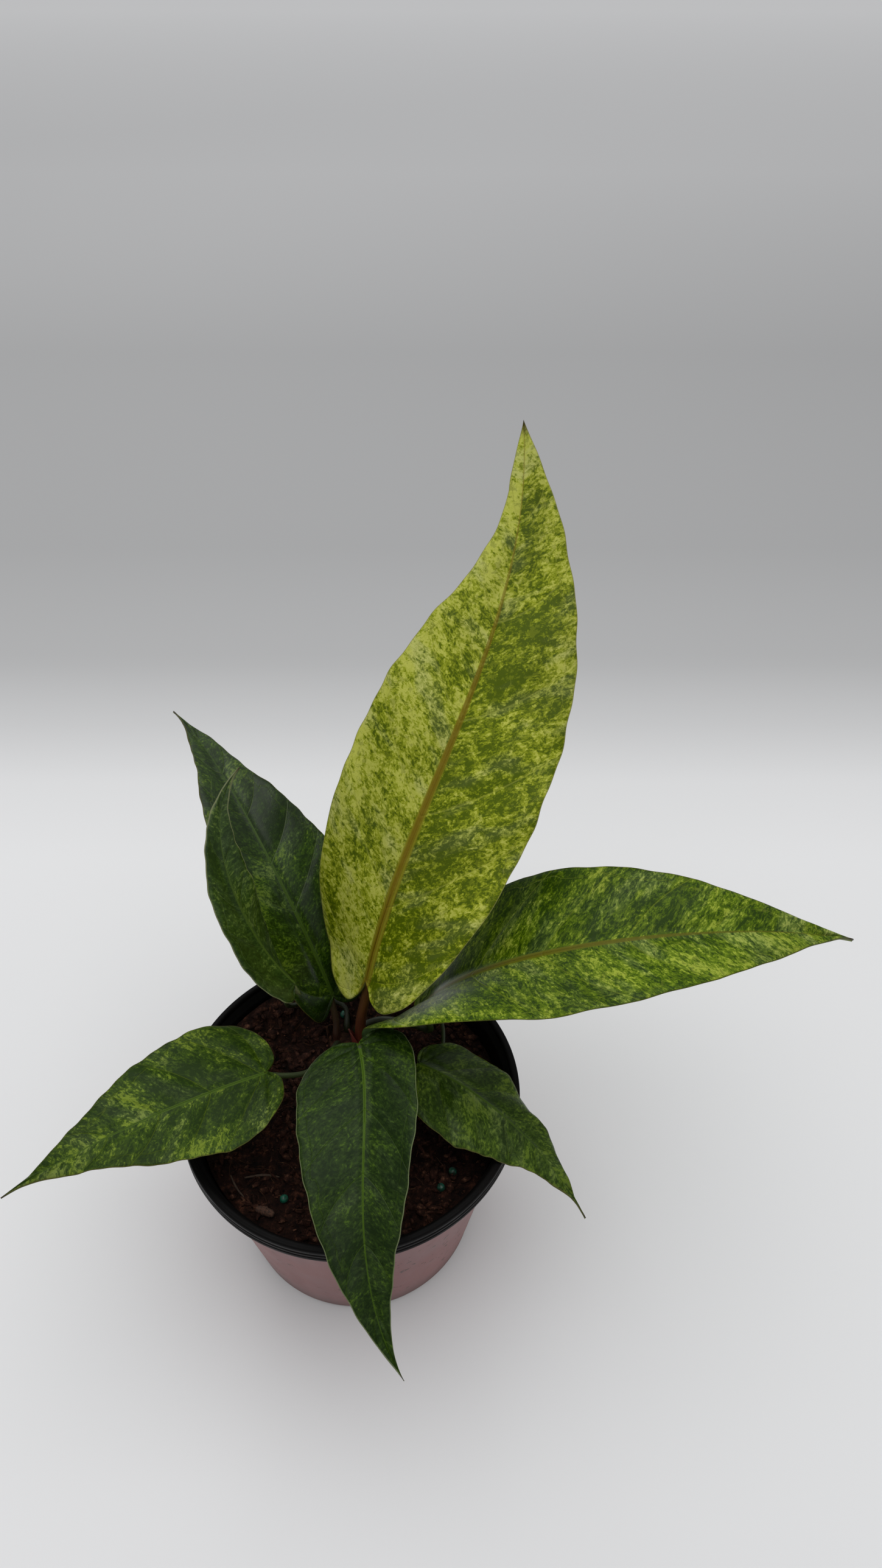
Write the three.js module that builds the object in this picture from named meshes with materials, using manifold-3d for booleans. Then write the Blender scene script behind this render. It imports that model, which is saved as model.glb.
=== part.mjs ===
// Potted anthurium: seven marbled heart-shaped leaves on their own leaf stalks, which rise from
// one short rootstock set in potting mix, in a thin-walled round nursery pot.
// Units are millimetres and +Z is up. The origin is the centre of the pot's flat underside.
import * as THREE from "three";
import { mergeVertices } from "three/addons/utils/BufferGeometryUtils.js";
import Module from "manifold-3d";

const wasm = await Module();
wasm.setup();

// ---------------------------------------------------------------- sizes

// The pot.
const potHeight = 100;
const rimRadius = 75; // outside of the rolled rim
const baseRadius = 54.5;
const potWall = 1.2;
const rimRollWidth = 3.4; // from the rim's outside to its inside, seen from above
const rimSkirtHeight = 8; // how far the rim turns down outside the wall
const rimSkirtThickness = 1.2;
const rimTopThickness = 2.4;
const rimEdgeRound = 0.9;
const ledgeDepth = 5; // the shelf inside the mouth that a second pot would rest on
const ledgeSlope = 0.6;
const baseEdgeRound = 1.5;
const drainHoleCount = 8;
const drainHoleRadius = 4;
const drainHoleCircle = 43; // radius of the circle the drain holes stand on

// The potting mix.
const mixHeadspace = 14; // from the top of the rim down to the mix
const soilLevel = potHeight - mixHeadspace;
const soilLumpHeight = 1.1;
const soilClearance = 0.4; // gap between the mix and the pot

// The rootstock and its roots.
const crownCentre = new THREE.Vector2(-3, 33);
const crownStandOut = 2; // how far the top of the crown stands above the mix
const crownTopHeight = soilLevel + crownStandOut;
const crownTopRadius = 10;
const crownBodyRadius = 11;
const rootstockDepth = 32;
const rootCount = 7;
const rootStartRadius = 2.2;
const rootEndRadius = 0.9;
const rootSpread = 38; // distance of the root ends from the pot's axis
const rootEndHeight = 16; // of the deepest root ends
const rootEndStep = 7; // between the heights that the root ends take in turn
const rootDroop = 8; // fall of a root over the first half of its spread
const rootClearance = 0.4; // gap between the mix and the roots

// The leaves and leaf stalks.
const bladeHalfThickness = 0.4;
const midribHeight = 1.2; // how far the midrib stands out under the blade
const midribWidthShare = 0.07; // half width of the midrib as a share of the half blade
const stalkGap = 0.35; // gap between a stalk and the blade or the crown at its ends
const stalkNeckShare = 0.65; // stalk radius at the blade as a share of its radius below

// Small things on the surface of the mix.
const restingGap = 0.35; // gap between a loose thing and the mix
const prillRadius = 1.8;
const sliverBow = 0.4; // how far the middle of a sliver stands above its ends

// Mesh fineness.
const potSegments = 64;
const spineSteps = 80;
const leafRows = 20;
const stalkSides = 9;
const stalkRings = 14;

// ---------------------------------------------------------------- finishes

const finishes = {
  rosePlastic: { color: 0xb78f8e, roughness: 0.45, metalness: 0 },
  pottingMix: { color: 0x3b2620, roughness: 0.95, metalness: 0 },
  rootTissue: { color: 0x7a5a3e, roughness: 0.8, metalness: 0 },
  limeLeaf: { color: 0x8a9c2e, roughness: 0.4, metalness: 0 },
  midGreenLeaf: { color: 0x42682a, roughness: 0.36, metalness: 0 },
  darkLeaf: { color: 0x234526, roughness: 0.34, metalness: 0 },
  redStalk: { color: 0x7c4230, roughness: 0.5, metalness: 0 },
  greenStalk: { color: 0x4e6b2c, roughness: 0.5, metalness: 0 },
  pinkSheath: { color: 0xa8574f, roughness: 0.6, metalness: 0 },
  fertilizer: { color: 0x1f7a5c, roughness: 0.35, metalness: 0 },
  driedWood: { color: 0x8d7358, roughness: 0.85, metalness: 0 },
};

function part(name, geometry, finish) {
  const mesh = new THREE.Mesh(geometry, new THREE.MeshStandardMaterial(finishes[finish]));
  mesh.name = name;
  return mesh;
}

// ---------------------------------------------------------------- solids

function solidFrom(geometry) {
  const bare = geometry.clone();
  bare.deleteAttribute("normal");
  bare.deleteAttribute("uv");
  const merged = mergeVertices(bare, 1e-4);
  return new wasm.Manifold(
    new wasm.Mesh({
      numProp: 3,
      vertProperties: merged.attributes.position.array,
      triVerts: new Uint32Array(merged.index.array),
    }),
  );
}

function geometryFrom(solid) {
  const mesh = solid.getMesh();
  const geometry = new THREE.BufferGeometry();
  geometry.setAttribute("position", new THREE.BufferAttribute(mesh.vertProperties, 3));
  geometry.setIndex(new THREE.BufferAttribute(mesh.triVerts, 1));
  geometry.computeVertexNormals();
  return geometry;
}

// Turns a profile of [radius, height] points, listed bottom to top along the outside, into a
// solid of revolution about the vertical axis.
function revolve(profile, segments) {
  const points = profile.map(([radius, height]) => new THREE.Vector2(radius, height));
  return new THREE.LatheGeometry(points, segments).rotateX(Math.PI / 2);
}

// Closes an open sheet into a thin solid. Each vertex of the sheet has a point on the upper
// face and a point on the lower face, and the rim of the sheet is closed between the two.
function closeSheet(upper, lower, triangles) {
  const count = upper.length;
  const used = triangles.filter(([a, b, c]) => a !== b && b !== c && c !== a);
  const edges = new Set();
  for (const [a, b, c] of used) {
    for (const edge of [`${a} ${b}`, `${b} ${c}`, `${c} ${a}`]) edges.add(edge);
  }
  const index = [];
  for (const [a, b, c] of used) {
    index.push(a, b, c, a + count, c + count, b + count);
  }
  for (const edge of edges) {
    const [from, to] = edge.split(" ").map(Number);
    if (edges.has(`${to} ${from}`)) continue;
    index.push(to, from, from + count, to, from + count, to + count);
  }
  const geometry = new THREE.BufferGeometry().setFromPoints([...upper, ...lower]);
  geometry.setIndex(index);
  geometry.computeVertexNormals();
  return geometry;
}

// A closed tube along a smooth curve through the points, whose radius follows radiusAt(share).
function taperedTube(points, radiusAt, sides, rings) {
  const curve = new THREE.CatmullRomCurve3(points, false, "centripetal");
  const frames = curve.computeFrenetFrames(rings, false);
  const vertices = [];
  for (let ring = 0; ring <= rings; ring += 1) {
    const share = ring / rings;
    const centre = curve.getPointAt(share);
    for (let side = 0; side < sides; side += 1) {
      const turn = (2 * Math.PI * side) / sides;
      const offset = frames.normals[ring].clone().multiplyScalar(Math.cos(turn));
      offset.addScaledVector(frames.binormals[ring], Math.sin(turn));
      vertices.push(centre.clone().addScaledVector(offset, radiusAt(share)));
    }
  }
  const firstCentre = vertices.push(curve.getPointAt(0)) - 1;
  const lastCentre = vertices.push(curve.getPointAt(1)) - 1;
  const lastRing = rings * sides;
  const index = [];
  for (let side = 0; side < sides; side += 1) {
    const next = (side + 1) % sides;
    for (let ring = 0; ring < rings; ring += 1) {
      const here = ring * sides;
      const above = here + sides;
      index.push(here + side, here + next, above + next, here + side, above + next, above + side);
    }
    index.push(firstCentre, next, side, lastCentre, lastRing + side, lastRing + next);
  }
  const geometry = new THREE.BufferGeometry().setFromPoints(vertices);
  geometry.setIndex(index);
  geometry.computeVertexNormals();
  return geometry;
}

// ---------------------------------------------------------------- pot

function wallRadius(height) {
  const top = rimRadius - rimRollWidth;
  return baseRadius + ((top - baseRadius) * height) / potHeight;
}

function makePot() {
  const innerRim = rimRadius - rimRollWidth;
  const grooveTop = potHeight - rimTopThickness;
  const skirtBottom = potHeight - rimSkirtHeight;
  const ledgeHeight = potHeight - ledgeDepth;
  const skirtInside = rimRadius - rimSkirtThickness;
  const profile = [
    [0, 0],
    [baseRadius - baseEdgeRound, 0],
    [baseRadius, baseEdgeRound],
    [wallRadius(grooveTop), grooveTop],
    [skirtInside, grooveTop],
    [skirtInside, skirtBottom],
    [rimRadius, skirtBottom],
    [rimRadius, potHeight - rimEdgeRound],
    [rimRadius - rimEdgeRound, potHeight],
    [innerRim + rimEdgeRound, potHeight],
    [innerRim, potHeight - rimEdgeRound],
    [innerRim, ledgeHeight],
    [wallRadius(ledgeHeight) - potWall, ledgeHeight - ledgeSlope],
    [wallRadius(potWall) - potWall, potWall],
    [0, potWall],
  ];
  let pot = solidFrom(revolve(profile, potSegments));
  for (let hole = 0; hole < drainHoleCount; hole += 1) {
    const turn = (2 * Math.PI * hole) / drainHoleCount;
    const punch = wasm.Manifold.cylinder(3 * potWall, drainHoleRadius, drainHoleRadius, 16);
    pot = pot.subtract(
      punch.translate([
        drainHoleCircle * Math.cos(turn),
        drainHoleCircle * Math.sin(turn),
        -potWall,
      ]),
    );
  }
  return part("pot", geometryFrom(pot), "rosePlastic");
}

// ---------------------------------------------------------------- rootstock and roots

// The rootstock with its roots, swollen by grow on every side so that it can also cut its own
// bed in the potting mix.
function rootstockSolid(grow) {
  const bottom = crownTopHeight - rootstockDepth;
  const profile = [
    [0, bottom - grow],
    [crownBodyRadius * 0.45 + grow, bottom + rootstockDepth * 0.2],
    [crownBodyRadius * 0.85 + grow, bottom + rootstockDepth * 0.5],
    [crownBodyRadius + grow, bottom + rootstockDepth * 0.8],
    [crownTopRadius + grow, crownTopHeight + grow],
    [0, crownTopHeight + grow],
  ];
  const crown = revolve(profile, 20).translate(crownCentre.x, crownCentre.y, 0);
  let rootstock = solidFrom(crown);
  for (let root = 0; root < rootCount; root += 1) {
    const turn = (2 * Math.PI * (root + 0.3)) / rootCount;
    const outward = new THREE.Vector2(Math.cos(turn), Math.sin(turn));
    const startHeight = crownTopHeight - rootstockDepth * (0.35 + 0.12 * (root % 3));
    const endHeight = rootEndHeight + rootEndStep * (root % 4);
    const middle = crownCentre.clone().lerp(outward.clone().multiplyScalar(rootSpread), 0.5);
    const path = [
      new THREE.Vector3(crownCentre.x, crownCentre.y, startHeight),
      new THREE.Vector3(middle.x, middle.y, startHeight - rootDroop),
      new THREE.Vector3(rootSpread * outward.x, rootSpread * outward.y, endHeight),
    ];
    path[2].addScaledVector(path[2].clone().sub(path[1]).normalize(), grow);
    const radiusAt = (share) => THREE.MathUtils.lerp(rootStartRadius, rootEndRadius, share) + grow;
    rootstock = rootstock.add(solidFrom(taperedTube(path, radiusAt, 6, 8)));
  }
  return rootstock;
}

// ---------------------------------------------------------------- potting mix

// Height of the lumpy top of the mix above its level.
function soilLumps(x, y) {
  const broad = Math.sin(0.11 * x + 0.6) * Math.cos(0.09 * y - 0.4);
  const fine = Math.sin(0.53 * x + 0.31 * y) * Math.cos(0.47 * y - 0.23 * x);
  return soilLumpHeight * (0.6 * broad + 0.4 * fine);
}

function soilHeight(x, y) {
  return soilLevel + soilLumps(x, y);
}

// Outside radius of the body of the mix at a height.
function mixRadius(height) {
  return wallRadius(height) - potWall - soilClearance;
}

function makeSoil() {
  const bottom = potWall + soilClearance;
  const top = mixRadius(soilLevel);
  const rings = 9;
  const profile = [
    [0, bottom],
    [mixRadius(bottom), bottom],
  ];
  for (let ring = rings; ring >= 0; ring -= 1) profile.push([(top * ring) / rings, soilLevel]);
  const geometry = revolve(profile, 48);
  const position = geometry.getAttribute("position");
  for (let i = 0; i < position.count; i += 1) {
    if (position.getZ(i) < soilLevel - 1) continue;
    const x = position.getX(i);
    const y = position.getY(i);
    const settled = 1 - Math.hypot(x, y) / top;
    position.setZ(i, soilLevel + soilLumps(x, y) * Math.min(1, 4 * settled));
  }
  const soil = solidFrom(geometry).subtract(rootstockSolid(rootClearance));
  return part("soil", geometryFrom(soil), "pottingMix");
}

// ---------------------------------------------------------------- leaf blades

// Each leaf blade is a flat heart outline laid along a bent spine. heading is the compass
// direction of the spine in degrees anticlockwise from +X, rise its slope above the horizon,
// roll the blade's turn about the spine, and fold the angle each half is raised above flat.
// Each of the four is given at the stalk, at half length and at the tip. joint is where the
// stalk meets the blade. It, stalkFoot and stalkVia are measured from the middle of the
// crown's top.
const leaves = {
  tall_leaf: {
    finish: "limeLeaf",
    stalkFinish: "redStalk",
    joint: [11, -3, 50],
    length: 253,
    leftWidth: 42,
    rightWidth: 47,
    leftLobe: 16,
    rightLobe: 6,
    lobeNarrowing: 0.23,
    widestAt: 0.28,
    taper: 1.13,
    heading: [57, 58, 95],
    rise: [69, 46, 48],
    roll: [-25, 11, -15],
    fold: [10, 1, 3],
    curl: [2, -2, 0],
    lobeDrop: -9,
    swells: [
      { side: 1, at: 0.78, amount: -8, span: 0.14 },
      { side: -1, at: 0.62, amount: 3, span: 0.2 },
    ],
    stalkRadius: 2.6,
    stalkFoot: [5, -1.5],
    stalkVia: [
      [6, 0, 16],
      [9.5, 0, 36],
    ],
  },
  right_leaf: {
    finish: "midGreenLeaf",
    stalkFinish: "greenStalk",
    joint: [34, -5, 32],
    length: 217,
    leftWidth: 37,
    rightWidth: 37,
    leftLobe: 21,
    rightLobe: 21,
    lobeNarrowing: 0.49,
    widestAt: 0.32,
    taper: 1.5,
    heading: [-25, -1, 18],
    rise: [65, 13, -32],
    roll: [-13, 8, 1],
    fold: [20, 14, 14],
    curl: [5, 0, 0],
    lobeDrop: 0,
    swells: [],
    stalkRadius: 1.8,
    stalkFoot: [4.2, 5.2],
    stalkVia: [
      [15, 7, 6],
      [30, 2, 9],
      [38, -7, 18],
    ],
  },
  back_left_leaf: {
    finish: "darkLeaf",
    stalkFinish: "redStalk",
    joint: [-8, 9, 23],
    length: 167,
    leftWidth: 27,
    rightWidth: 30,
    leftLobe: 8,
    rightLobe: 11,
    lobeNarrowing: 0.32,
    widestAt: 0.39,
    taper: 1.83,
    heading: [139, 125, 129],
    rise: [71, 33, -3],
    roll: [2, 16, 9],
    fold: [14, 8, 16],
    curl: [12, 3, -2],
    lobeDrop: 7,
    swells: [{ side: -1, at: 0.66, amount: -2.5, span: 0.16 }],
    stalkRadius: 1.7,
    stalkFoot: [-6.6, 2],
    stalkVia: [[-6.5, 5, 9]],
  },
  folded_leaf: {
    finish: "darkLeaf",
    stalkFinish: "greenStalk",
    joint: [-20, -13, 60],
    length: 105,
    leftWidth: 17,
    rightWidth: 14,
    leftLobe: 3,
    rightLobe: 9,
    lobeNarrowing: 0.3,
    widestAt: 0.18,
    taper: 1.52,
    heading: [170, 123, 51],
    rise: [52, 59, 23],
    roll: [27, 24, 23],
    fold: [-9, 11, 33],
    curl: [-2, -2, 0],
    lobeDrop: 10,
    swells: [],
    stalkRadius: 1.2,
    stalkFoot: [-1.8, 6.4],
    stalkVia: [
      [-3, 13, 8],
      [-14, 15, 12],
      [-27, 4, 21],
      [-25, -6, 42],
    ],
  },
  front_left_leaf: {
    finish: "darkLeaf",
    stalkFinish: "greenStalk",
    joint: [-33, -37, 28],
    length: 113,
    leftWidth: 31,
    rightWidth: 30,
    leftLobe: 6,
    rightLobe: 6,
    lobeNarrowing: 0.23,
    widestAt: 0.17,
    taper: 1.78,
    heading: [202, 213, 209],
    rise: [1, 5, -16],
    roll: [4, -6, 3],
    fold: [13, 9, 7],
    curl: [-1, 0, 0],
    lobeDrop: -9,
    swells: [],
    stalkRadius: 1.4,
    stalkFoot: [-5.8, -3.8],
    stalkVia: [
      [-8, -13, 9],
      [-17, -30, 18],
    ],
  },
  front_leaf: {
    finish: "darkLeaf",
    stalkFinish: "greenStalk",
    joint: [8, -31, 40],
    length: 134,
    leftWidth: 24,
    rightWidth: 28,
    leftLobe: 6,
    rightLobe: 6,
    lobeNarrowing: 0.3,
    widestAt: 0.2,
    taper: 1.54,
    heading: [285, 272, 312],
    rise: [15, -24, -33],
    roll: [10, 11, -4],
    fold: [5, 15, 4],
    curl: [-2, 5, -1],
    lobeDrop: 0,
    swells: [{ side: 1, at: 0.2, amount: -1.5, span: 0.04 }],
    stalkRadius: 1.9,
    stalkFoot: [1.4, -6.4],
    stalkVia: [
      [3, -15, 12],
      [6, -26, 27],
    ],
  },
  front_right_leaf: {
    finish: "darkLeaf",
    stalkFinish: "greenStalk",
    joint: [34, -31, 26],
    length: 96,
    leftWidth: 23,
    rightWidth: 25,
    leftLobe: 6,
    rightLobe: 7,
    lobeNarrowing: 0.4,
    widestAt: 0.24,
    taper: 2,
    heading: [329, 325, 298],
    rise: [12, -26, -15],
    roll: [-14, -9, -11],
    fold: [3, -6, 8],
    curl: [-2, -7, 0],
    lobeDrop: 1,
    swells: [
      { side: 1, at: 0.52, amount: -2, span: 0.06 },
      { side: 1, at: 0.68, amount: 1.5, span: 0.06 },
    ],
    stalkRadius: 1,
    stalkFoot: [7.9, 1.2],
    stalkVia: [
      [24, -1, 16],
      [41, -2, 21],
      [44, -13, 17],
      [40, -25, 19],
    ],
  },
};

function fromCrown(x, y, z) {
  return new THREE.Vector3(crownCentre.x + x, crownCentre.y + y, crownTopHeight + z);
}

// The value at a share of the length, on the parabola through the values at 0, half and 1.
function alongLeaf([atStalk, atHalf, atTip], share) {
  const rising = atStalk * (1 - share) * (1 - 2 * share);
  return rising + 4 * atHalf * share * (1 - share) + atTip * share * (2 * share - 1);
}

function bezier(points, share) {
  const curve = new THREE.CubicBezierCurve(...points.map(([a, b]) => new THREE.Vector2(a, b)));
  return curve.getPoint(share);
}

// Point of the flat outline on one side: x runs along the midrib from the stalk, y away from it.
// t runs from the notch at the stalk, round the lobe, to the tip.
const lobeShare = 0.14;
const shoulderShare = 0.36;
function outlinePoint(leaf, side, t) {
  const width = side > 0 ? leaf.leftWidth : leaf.rightWidth;
  const lobe = side > 0 ? leaf.leftLobe : leaf.rightLobe;
  const lobeWidth = leaf.lobeNarrowing * width;
  const widest = leaf.widestAt * leaf.length;
  let point;
  if (t < lobeShare) {
    const handles = [
      [0, 0],
      [-0.45 * lobe, 0.02 * width],
      [-lobe, 0.5 * lobeWidth],
      [-lobe, lobeWidth],
    ];
    point = bezier(handles, t / lobeShare);
  } else if (t < shoulderShare) {
    const handles = [
      [-lobe, lobeWidth],
      [-lobe, lobeWidth + 0.6 * (width - lobeWidth)],
      [widest - 0.55 * (widest + lobe), width],
      [widest, width],
    ];
    point = bezier(handles, (t - lobeShare) / (shoulderShare - lobeShare));
  } else {
    const share = (t - shoulderShare) / (1 - shoulderShare);
    const narrowing = (1 - share) ** leaf.taper * (1 + leaf.taper * share);
    point = new THREE.Vector2(widest + (leaf.length - widest) * share, width * narrowing);
  }
  for (const swell of leaf.swells) {
    if (swell.side !== side) continue;
    const near = Math.exp(-(((point.x / leaf.length - swell.at) / swell.span) ** 2));
    point.y += swell.amount * near * Math.min(1, point.y / (0.25 * width));
  }
  return point;
}

// Point on the midrib that the pair of side veins ending at t on the outline starts from. The
// veins of the lobes all start at the stalk.
const fanShare = 0.18;
function veinStart(leaf, t) {
  const fan = fanShare * leaf.length;
  const along = ((outlinePoint(leaf, 1, t).x - fan) * leaf.length) / (leaf.length - fan);
  return new THREE.Vector2(Math.max(0, along), 0);
}

function spineDirection(leaf, share) {
  const heading = THREE.MathUtils.degToRad(alongLeaf(leaf.heading, share));
  const rise = THREE.MathUtils.degToRad(alongLeaf(leaf.rise, share));
  return new THREE.Vector3(
    Math.cos(rise) * Math.cos(heading),
    Math.cos(rise) * Math.sin(heading),
    Math.sin(rise),
  );
}

function spinePoints(leaf) {
  const points = [fromCrown(...leaf.joint)];
  for (let step = 0; step < spineSteps; step += 1) {
    const direction = spineDirection(leaf, (step + 0.5) / spineSteps);
    const next = points[step].clone().addScaledVector(direction, leaf.length / spineSteps);
    points.push(next);
  }
  return points;
}

// Spine point, direction, left-hand side and upward normal at a distance along the leaf.
function bladeFrame(leaf, spine, along) {
  const share = THREE.MathUtils.clamp(along / leaf.length, 0, 1);
  const direction = spineDirection(leaf, share);
  const heading = THREE.MathUtils.degToRad(alongLeaf(leaf.heading, share));
  const roll = THREE.MathUtils.degToRad(alongLeaf(leaf.roll, share));
  const level = new THREE.Vector3(-Math.sin(heading), Math.cos(heading), 0);
  const upright = direction.clone().cross(level);
  const side = level.clone().multiplyScalar(Math.cos(roll)).addScaledVector(upright, Math.sin(roll));
  const normal = upright.multiplyScalar(Math.cos(roll)).addScaledVector(level, -Math.sin(roll));
  const step = Math.min(spineSteps - 1, Math.floor(share * spineSteps));
  const point = spine[step].clone().lerp(spine[step + 1], share * spineSteps - step);
  if (along < 0) {
    point.addScaledVector(direction, along);
    point.addScaledVector(normal, along * Math.tan(THREE.MathUtils.degToRad(leaf.lobeDrop)));
  }
  return { point, direction, side, normal };
}

// Places a point of the flat blade in space, with the normal of the blade there.
function placeOnBlade(leaf, spine, flat, side) {
  const frame = bladeFrame(leaf, spine, flat.x);
  const share = THREE.MathUtils.clamp(flat.x / leaf.length, 0, 1);
  const width = side > 0 ? leaf.leftWidth : leaf.rightWidth;
  const raised = alongLeaf(leaf.fold, share) + (0.5 * alongLeaf(leaf.curl, share) * flat.y) / width;
  const angle = THREE.MathUtils.degToRad(raised);
  const point = frame.point.addScaledVector(frame.side, side * flat.y * Math.cos(angle));
  point.addScaledVector(frame.normal, flat.y * Math.sin(angle));
  const normal = frame.normal.clone().multiplyScalar(Math.cos(angle));
  normal.addScaledVector(frame.side, -side * Math.sin(angle));
  return { point, normal };
}

// How far the midrib stands out under the blade at a share of the length.
function midribBelow(share) {
  return midribHeight * (1 - share) ** 0.7 * THREE.MathUtils.smoothstep(share, 0, 0.05);
}

function bladeGeometry(leaf) {
  const spine = spinePoints(leaf);
  const columns = [0, midribWidthShare, 0.3, 0.55, 0.8, 1];
  const upper = [];
  const lower = [];
  const known = new Map();
  const vertexAt = (flat, side, underRib) => {
    const key = `${flat.x.toFixed(3)} ${(side * flat.y).toFixed(3)}`;
    if (!known.has(key)) {
      const { point, normal } = placeOnBlade(leaf, spine, flat, side);
      const below = bladeHalfThickness + (underRib ? midribBelow(flat.x / leaf.length) : 0);
      known.set(key, upper.length);
      upper.push(point.clone().addScaledVector(normal, bladeHalfThickness));
      lower.push(point.clone().addScaledVector(normal, -below));
    }
    return known.get(key);
  };
  const triangles = [];
  for (const side of [1, -1]) {
    const rows = [];
    for (let row = 0; row <= leafRows; row += 1) {
      const outline = outlinePoint(leaf, side, row / leafRows);
      const start = veinStart(leaf, row / leafRows);
      rows.push(
        columns.map((share) => vertexAt(start.clone().lerp(outline, share), side, share === 0)),
      );
    }
    for (let row = 0; row < leafRows; row += 1) {
      for (let column = 1; column < columns.length; column += 1) {
        const [a, b] = [rows[row][column - 1], rows[row][column]];
        const [c, d] = [rows[row + 1][column - 1], rows[row + 1][column]];
        if (side > 0) triangles.push([a, c, d], [a, d, b]);
        else triangles.push([a, d, c], [a, b, d]);
      }
    }
  }
  return closeSheet(upper, lower, triangles);
}

// The stalk rises from the crown and stops just under the blade at its notch.
function stalkGeometry(leaf) {
  const spine = spinePoints(leaf);
  const { point, normal } = bladeFrame(leaf, spine, 0);
  const foot = fromCrown(...leaf.stalkFoot, stalkGap);
  const via = leaf.stalkVia.map((place) => fromCrown(...place));
  const arriving = point.clone().sub(via[via.length - 1]).normalize();
  const tilt = Math.sqrt(1 - arriving.dot(normal) ** 2);
  const neckRadius = stalkNeckShare * leaf.stalkRadius;
  const below = bladeHalfThickness + stalkGap + neckRadius * tilt;
  const head = point.addScaledVector(normal, -below);
  const straightUp = foot.clone().add(new THREE.Vector3(0, 0, 2));
  const radiusAt = (share) =>
    leaf.stalkRadius * THREE.MathUtils.lerp(1, stalkNeckShare, THREE.MathUtils.smoothstep(share, 0.4, 1));
  return taperedTube([foot, straightUp, ...via, head], radiusAt, stalkSides, stalkRings);
}

// ---------------------------------------------------------------- sheath at the crown

const sheathHeight = 13;
const sheathStandOff = 0.9; // from the skin of the tall leaf's stalk to the middle of the sheath
const sheathHalfThickness = 0.25;
const sheathMiddle = 200; // direction its back faces, in degrees from +X
const sheathReach = 75; // half its wrap round the stalk at the foot, in degrees
const sheathLean = 1.5; // how far its point stands out from the stalk

function makeSheath() {
  const rows = 8;
  const columns = 8;
  const { stalkFoot, stalkRadius } = leaves.tall_leaf;
  const upper = [];
  const lower = [];
  const triangles = [];
  for (let row = 0; row <= rows; row += 1) {
    const rise = row / rows;
    const reach = sheathReach * (1 - 0.94 * rise ** 1.4);
    for (let column = 0; column <= columns; column += 1) {
      const turn = THREE.MathUtils.degToRad(sheathMiddle + reach * (1 - (2 * column) / columns));
      const outward = new THREE.Vector3(Math.cos(turn), Math.sin(turn), 0);
      const point = fromCrown(...stalkFoot, stalkGap + sheathHeight * rise);
      point.addScaledVector(outward, stalkRadius + sheathStandOff + sheathLean * rise ** 2);
      upper.push(point.clone().addScaledVector(outward, sheathHalfThickness));
      lower.push(point.clone().addScaledVector(outward, -sheathHalfThickness));
      if (row === 0 || column === 0) continue;
      const d = row * (columns + 1) + column;
      const c = d - 1;
      const b = d - (columns + 1);
      const a = b - 1;
      triangles.push([a, c, d], [a, d, b]);
    }
  }
  return part("crown_sheath", closeSheet(upper, lower, triangles), "pinkSheath");
}

// ---------------------------------------------------------------- loose things on the mix

// A place on the top of the mix, in shares of its radius.
function placeOnMix(xShare, yShare) {
  return new THREE.Vector2(xShare, yShare).multiplyScalar(mixRadius(soilLevel));
}

// A place on the top of the mix, measured from the middle of the crown.
function placeByCrown(x, y) {
  return new THREE.Vector2(x, y).add(crownCentre);
}

// A slow-release fertilizer prill resting on the mix.
function makePrill(number, { x, y }) {
  const ball = new THREE.IcosahedronGeometry(prillRadius, 1);
  ball.translate(x, y, highestSoilNear(x, y, prillRadius) + prillRadius + restingGap);
  return part(`fertilizer_prill_${number}`, ball, "fertilizer");
}

// A sliver of wood lying on the mix about its middle, thicker in the middle and bowed up.
function makeSliver(name, middle, length, heading, radius) {
  const turn = THREE.MathUtils.degToRad(heading);
  const height = highestSoilNear(middle.x, middle.y, length / 2) + radius + restingGap;
  const path = [-1, 0, 1].map((end) => {
    const x = middle.x + (end * length * Math.cos(turn)) / 2;
    const y = middle.y + (end * length * Math.sin(turn)) / 2;
    return new THREE.Vector3(x, y, height + sliverBow * (1 - end ** 2));
  });
  const radiusAt = (share) => radius * (0.55 + 0.45 * Math.sin(Math.PI * share));
  return part(name, taperedTube(path, radiusAt, 6, 6), "driedWood");
}

function highestSoilNear(x, y, reach) {
  let highest = 0;
  for (let i = -2; i <= 2; i += 1) {
    for (let j = -2; j <= 2; j += 1) {
      highest = Math.max(highest, soilHeight(x + (reach * i) / 2, y + (reach * j) / 2));
    }
  }
  return highest;
}

// ---------------------------------------------------------------- the plant in its pot

const group = new THREE.Group();
group.name = "potted_anthurium";

group.add(makePot());
group.add(makeSoil());
group.add(part("rootstock", geometryFrom(rootstockSolid(0)), "rootTissue"));
for (const [name, leaf] of Object.entries(leaves)) {
  group.add(part(`${name}_blade`, bladeGeometry(leaf), leaf.finish));
  group.add(part(`${name}_stalk`, stalkGeometry(leaf), leaf.stalkFinish));
}
group.add(makeSheath());
group.add(makePrill(1, placeOnMix(-0.385, -0.68)));
group.add(makePrill(2, placeOnMix(0.592, -0.606)));
group.add(makePrill(3, placeOnMix(0.666, -0.503)));
group.add(makePrill(4, placeByCrown(-4, 15)));
group.add(makeSliver("twig_1", placeOnMix(-0.54, -0.532), 15, 0, 0.8));
group.add(makeSliver("twig_2", placeOnMix(-0.688, -0.592), 12, -55, 0.7));
group.add(makeSliver("bark_chip", placeOnMix(-0.492, -0.765), 8, -18, 2));

export default group;
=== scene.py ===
"""Looks of a potted anthurium: marbled leaves on slender stalks in a two-tone nursery pot.

Lengths are millimetres and angles are degrees, as in the part's own source, but the studio's
lengths are metres. Meshes are made in metres, in the part's frame: +Z up, origin under the middle
of the pot. The maps of a blade are in units of 100 mm.
"""

from __future__ import annotations

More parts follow.
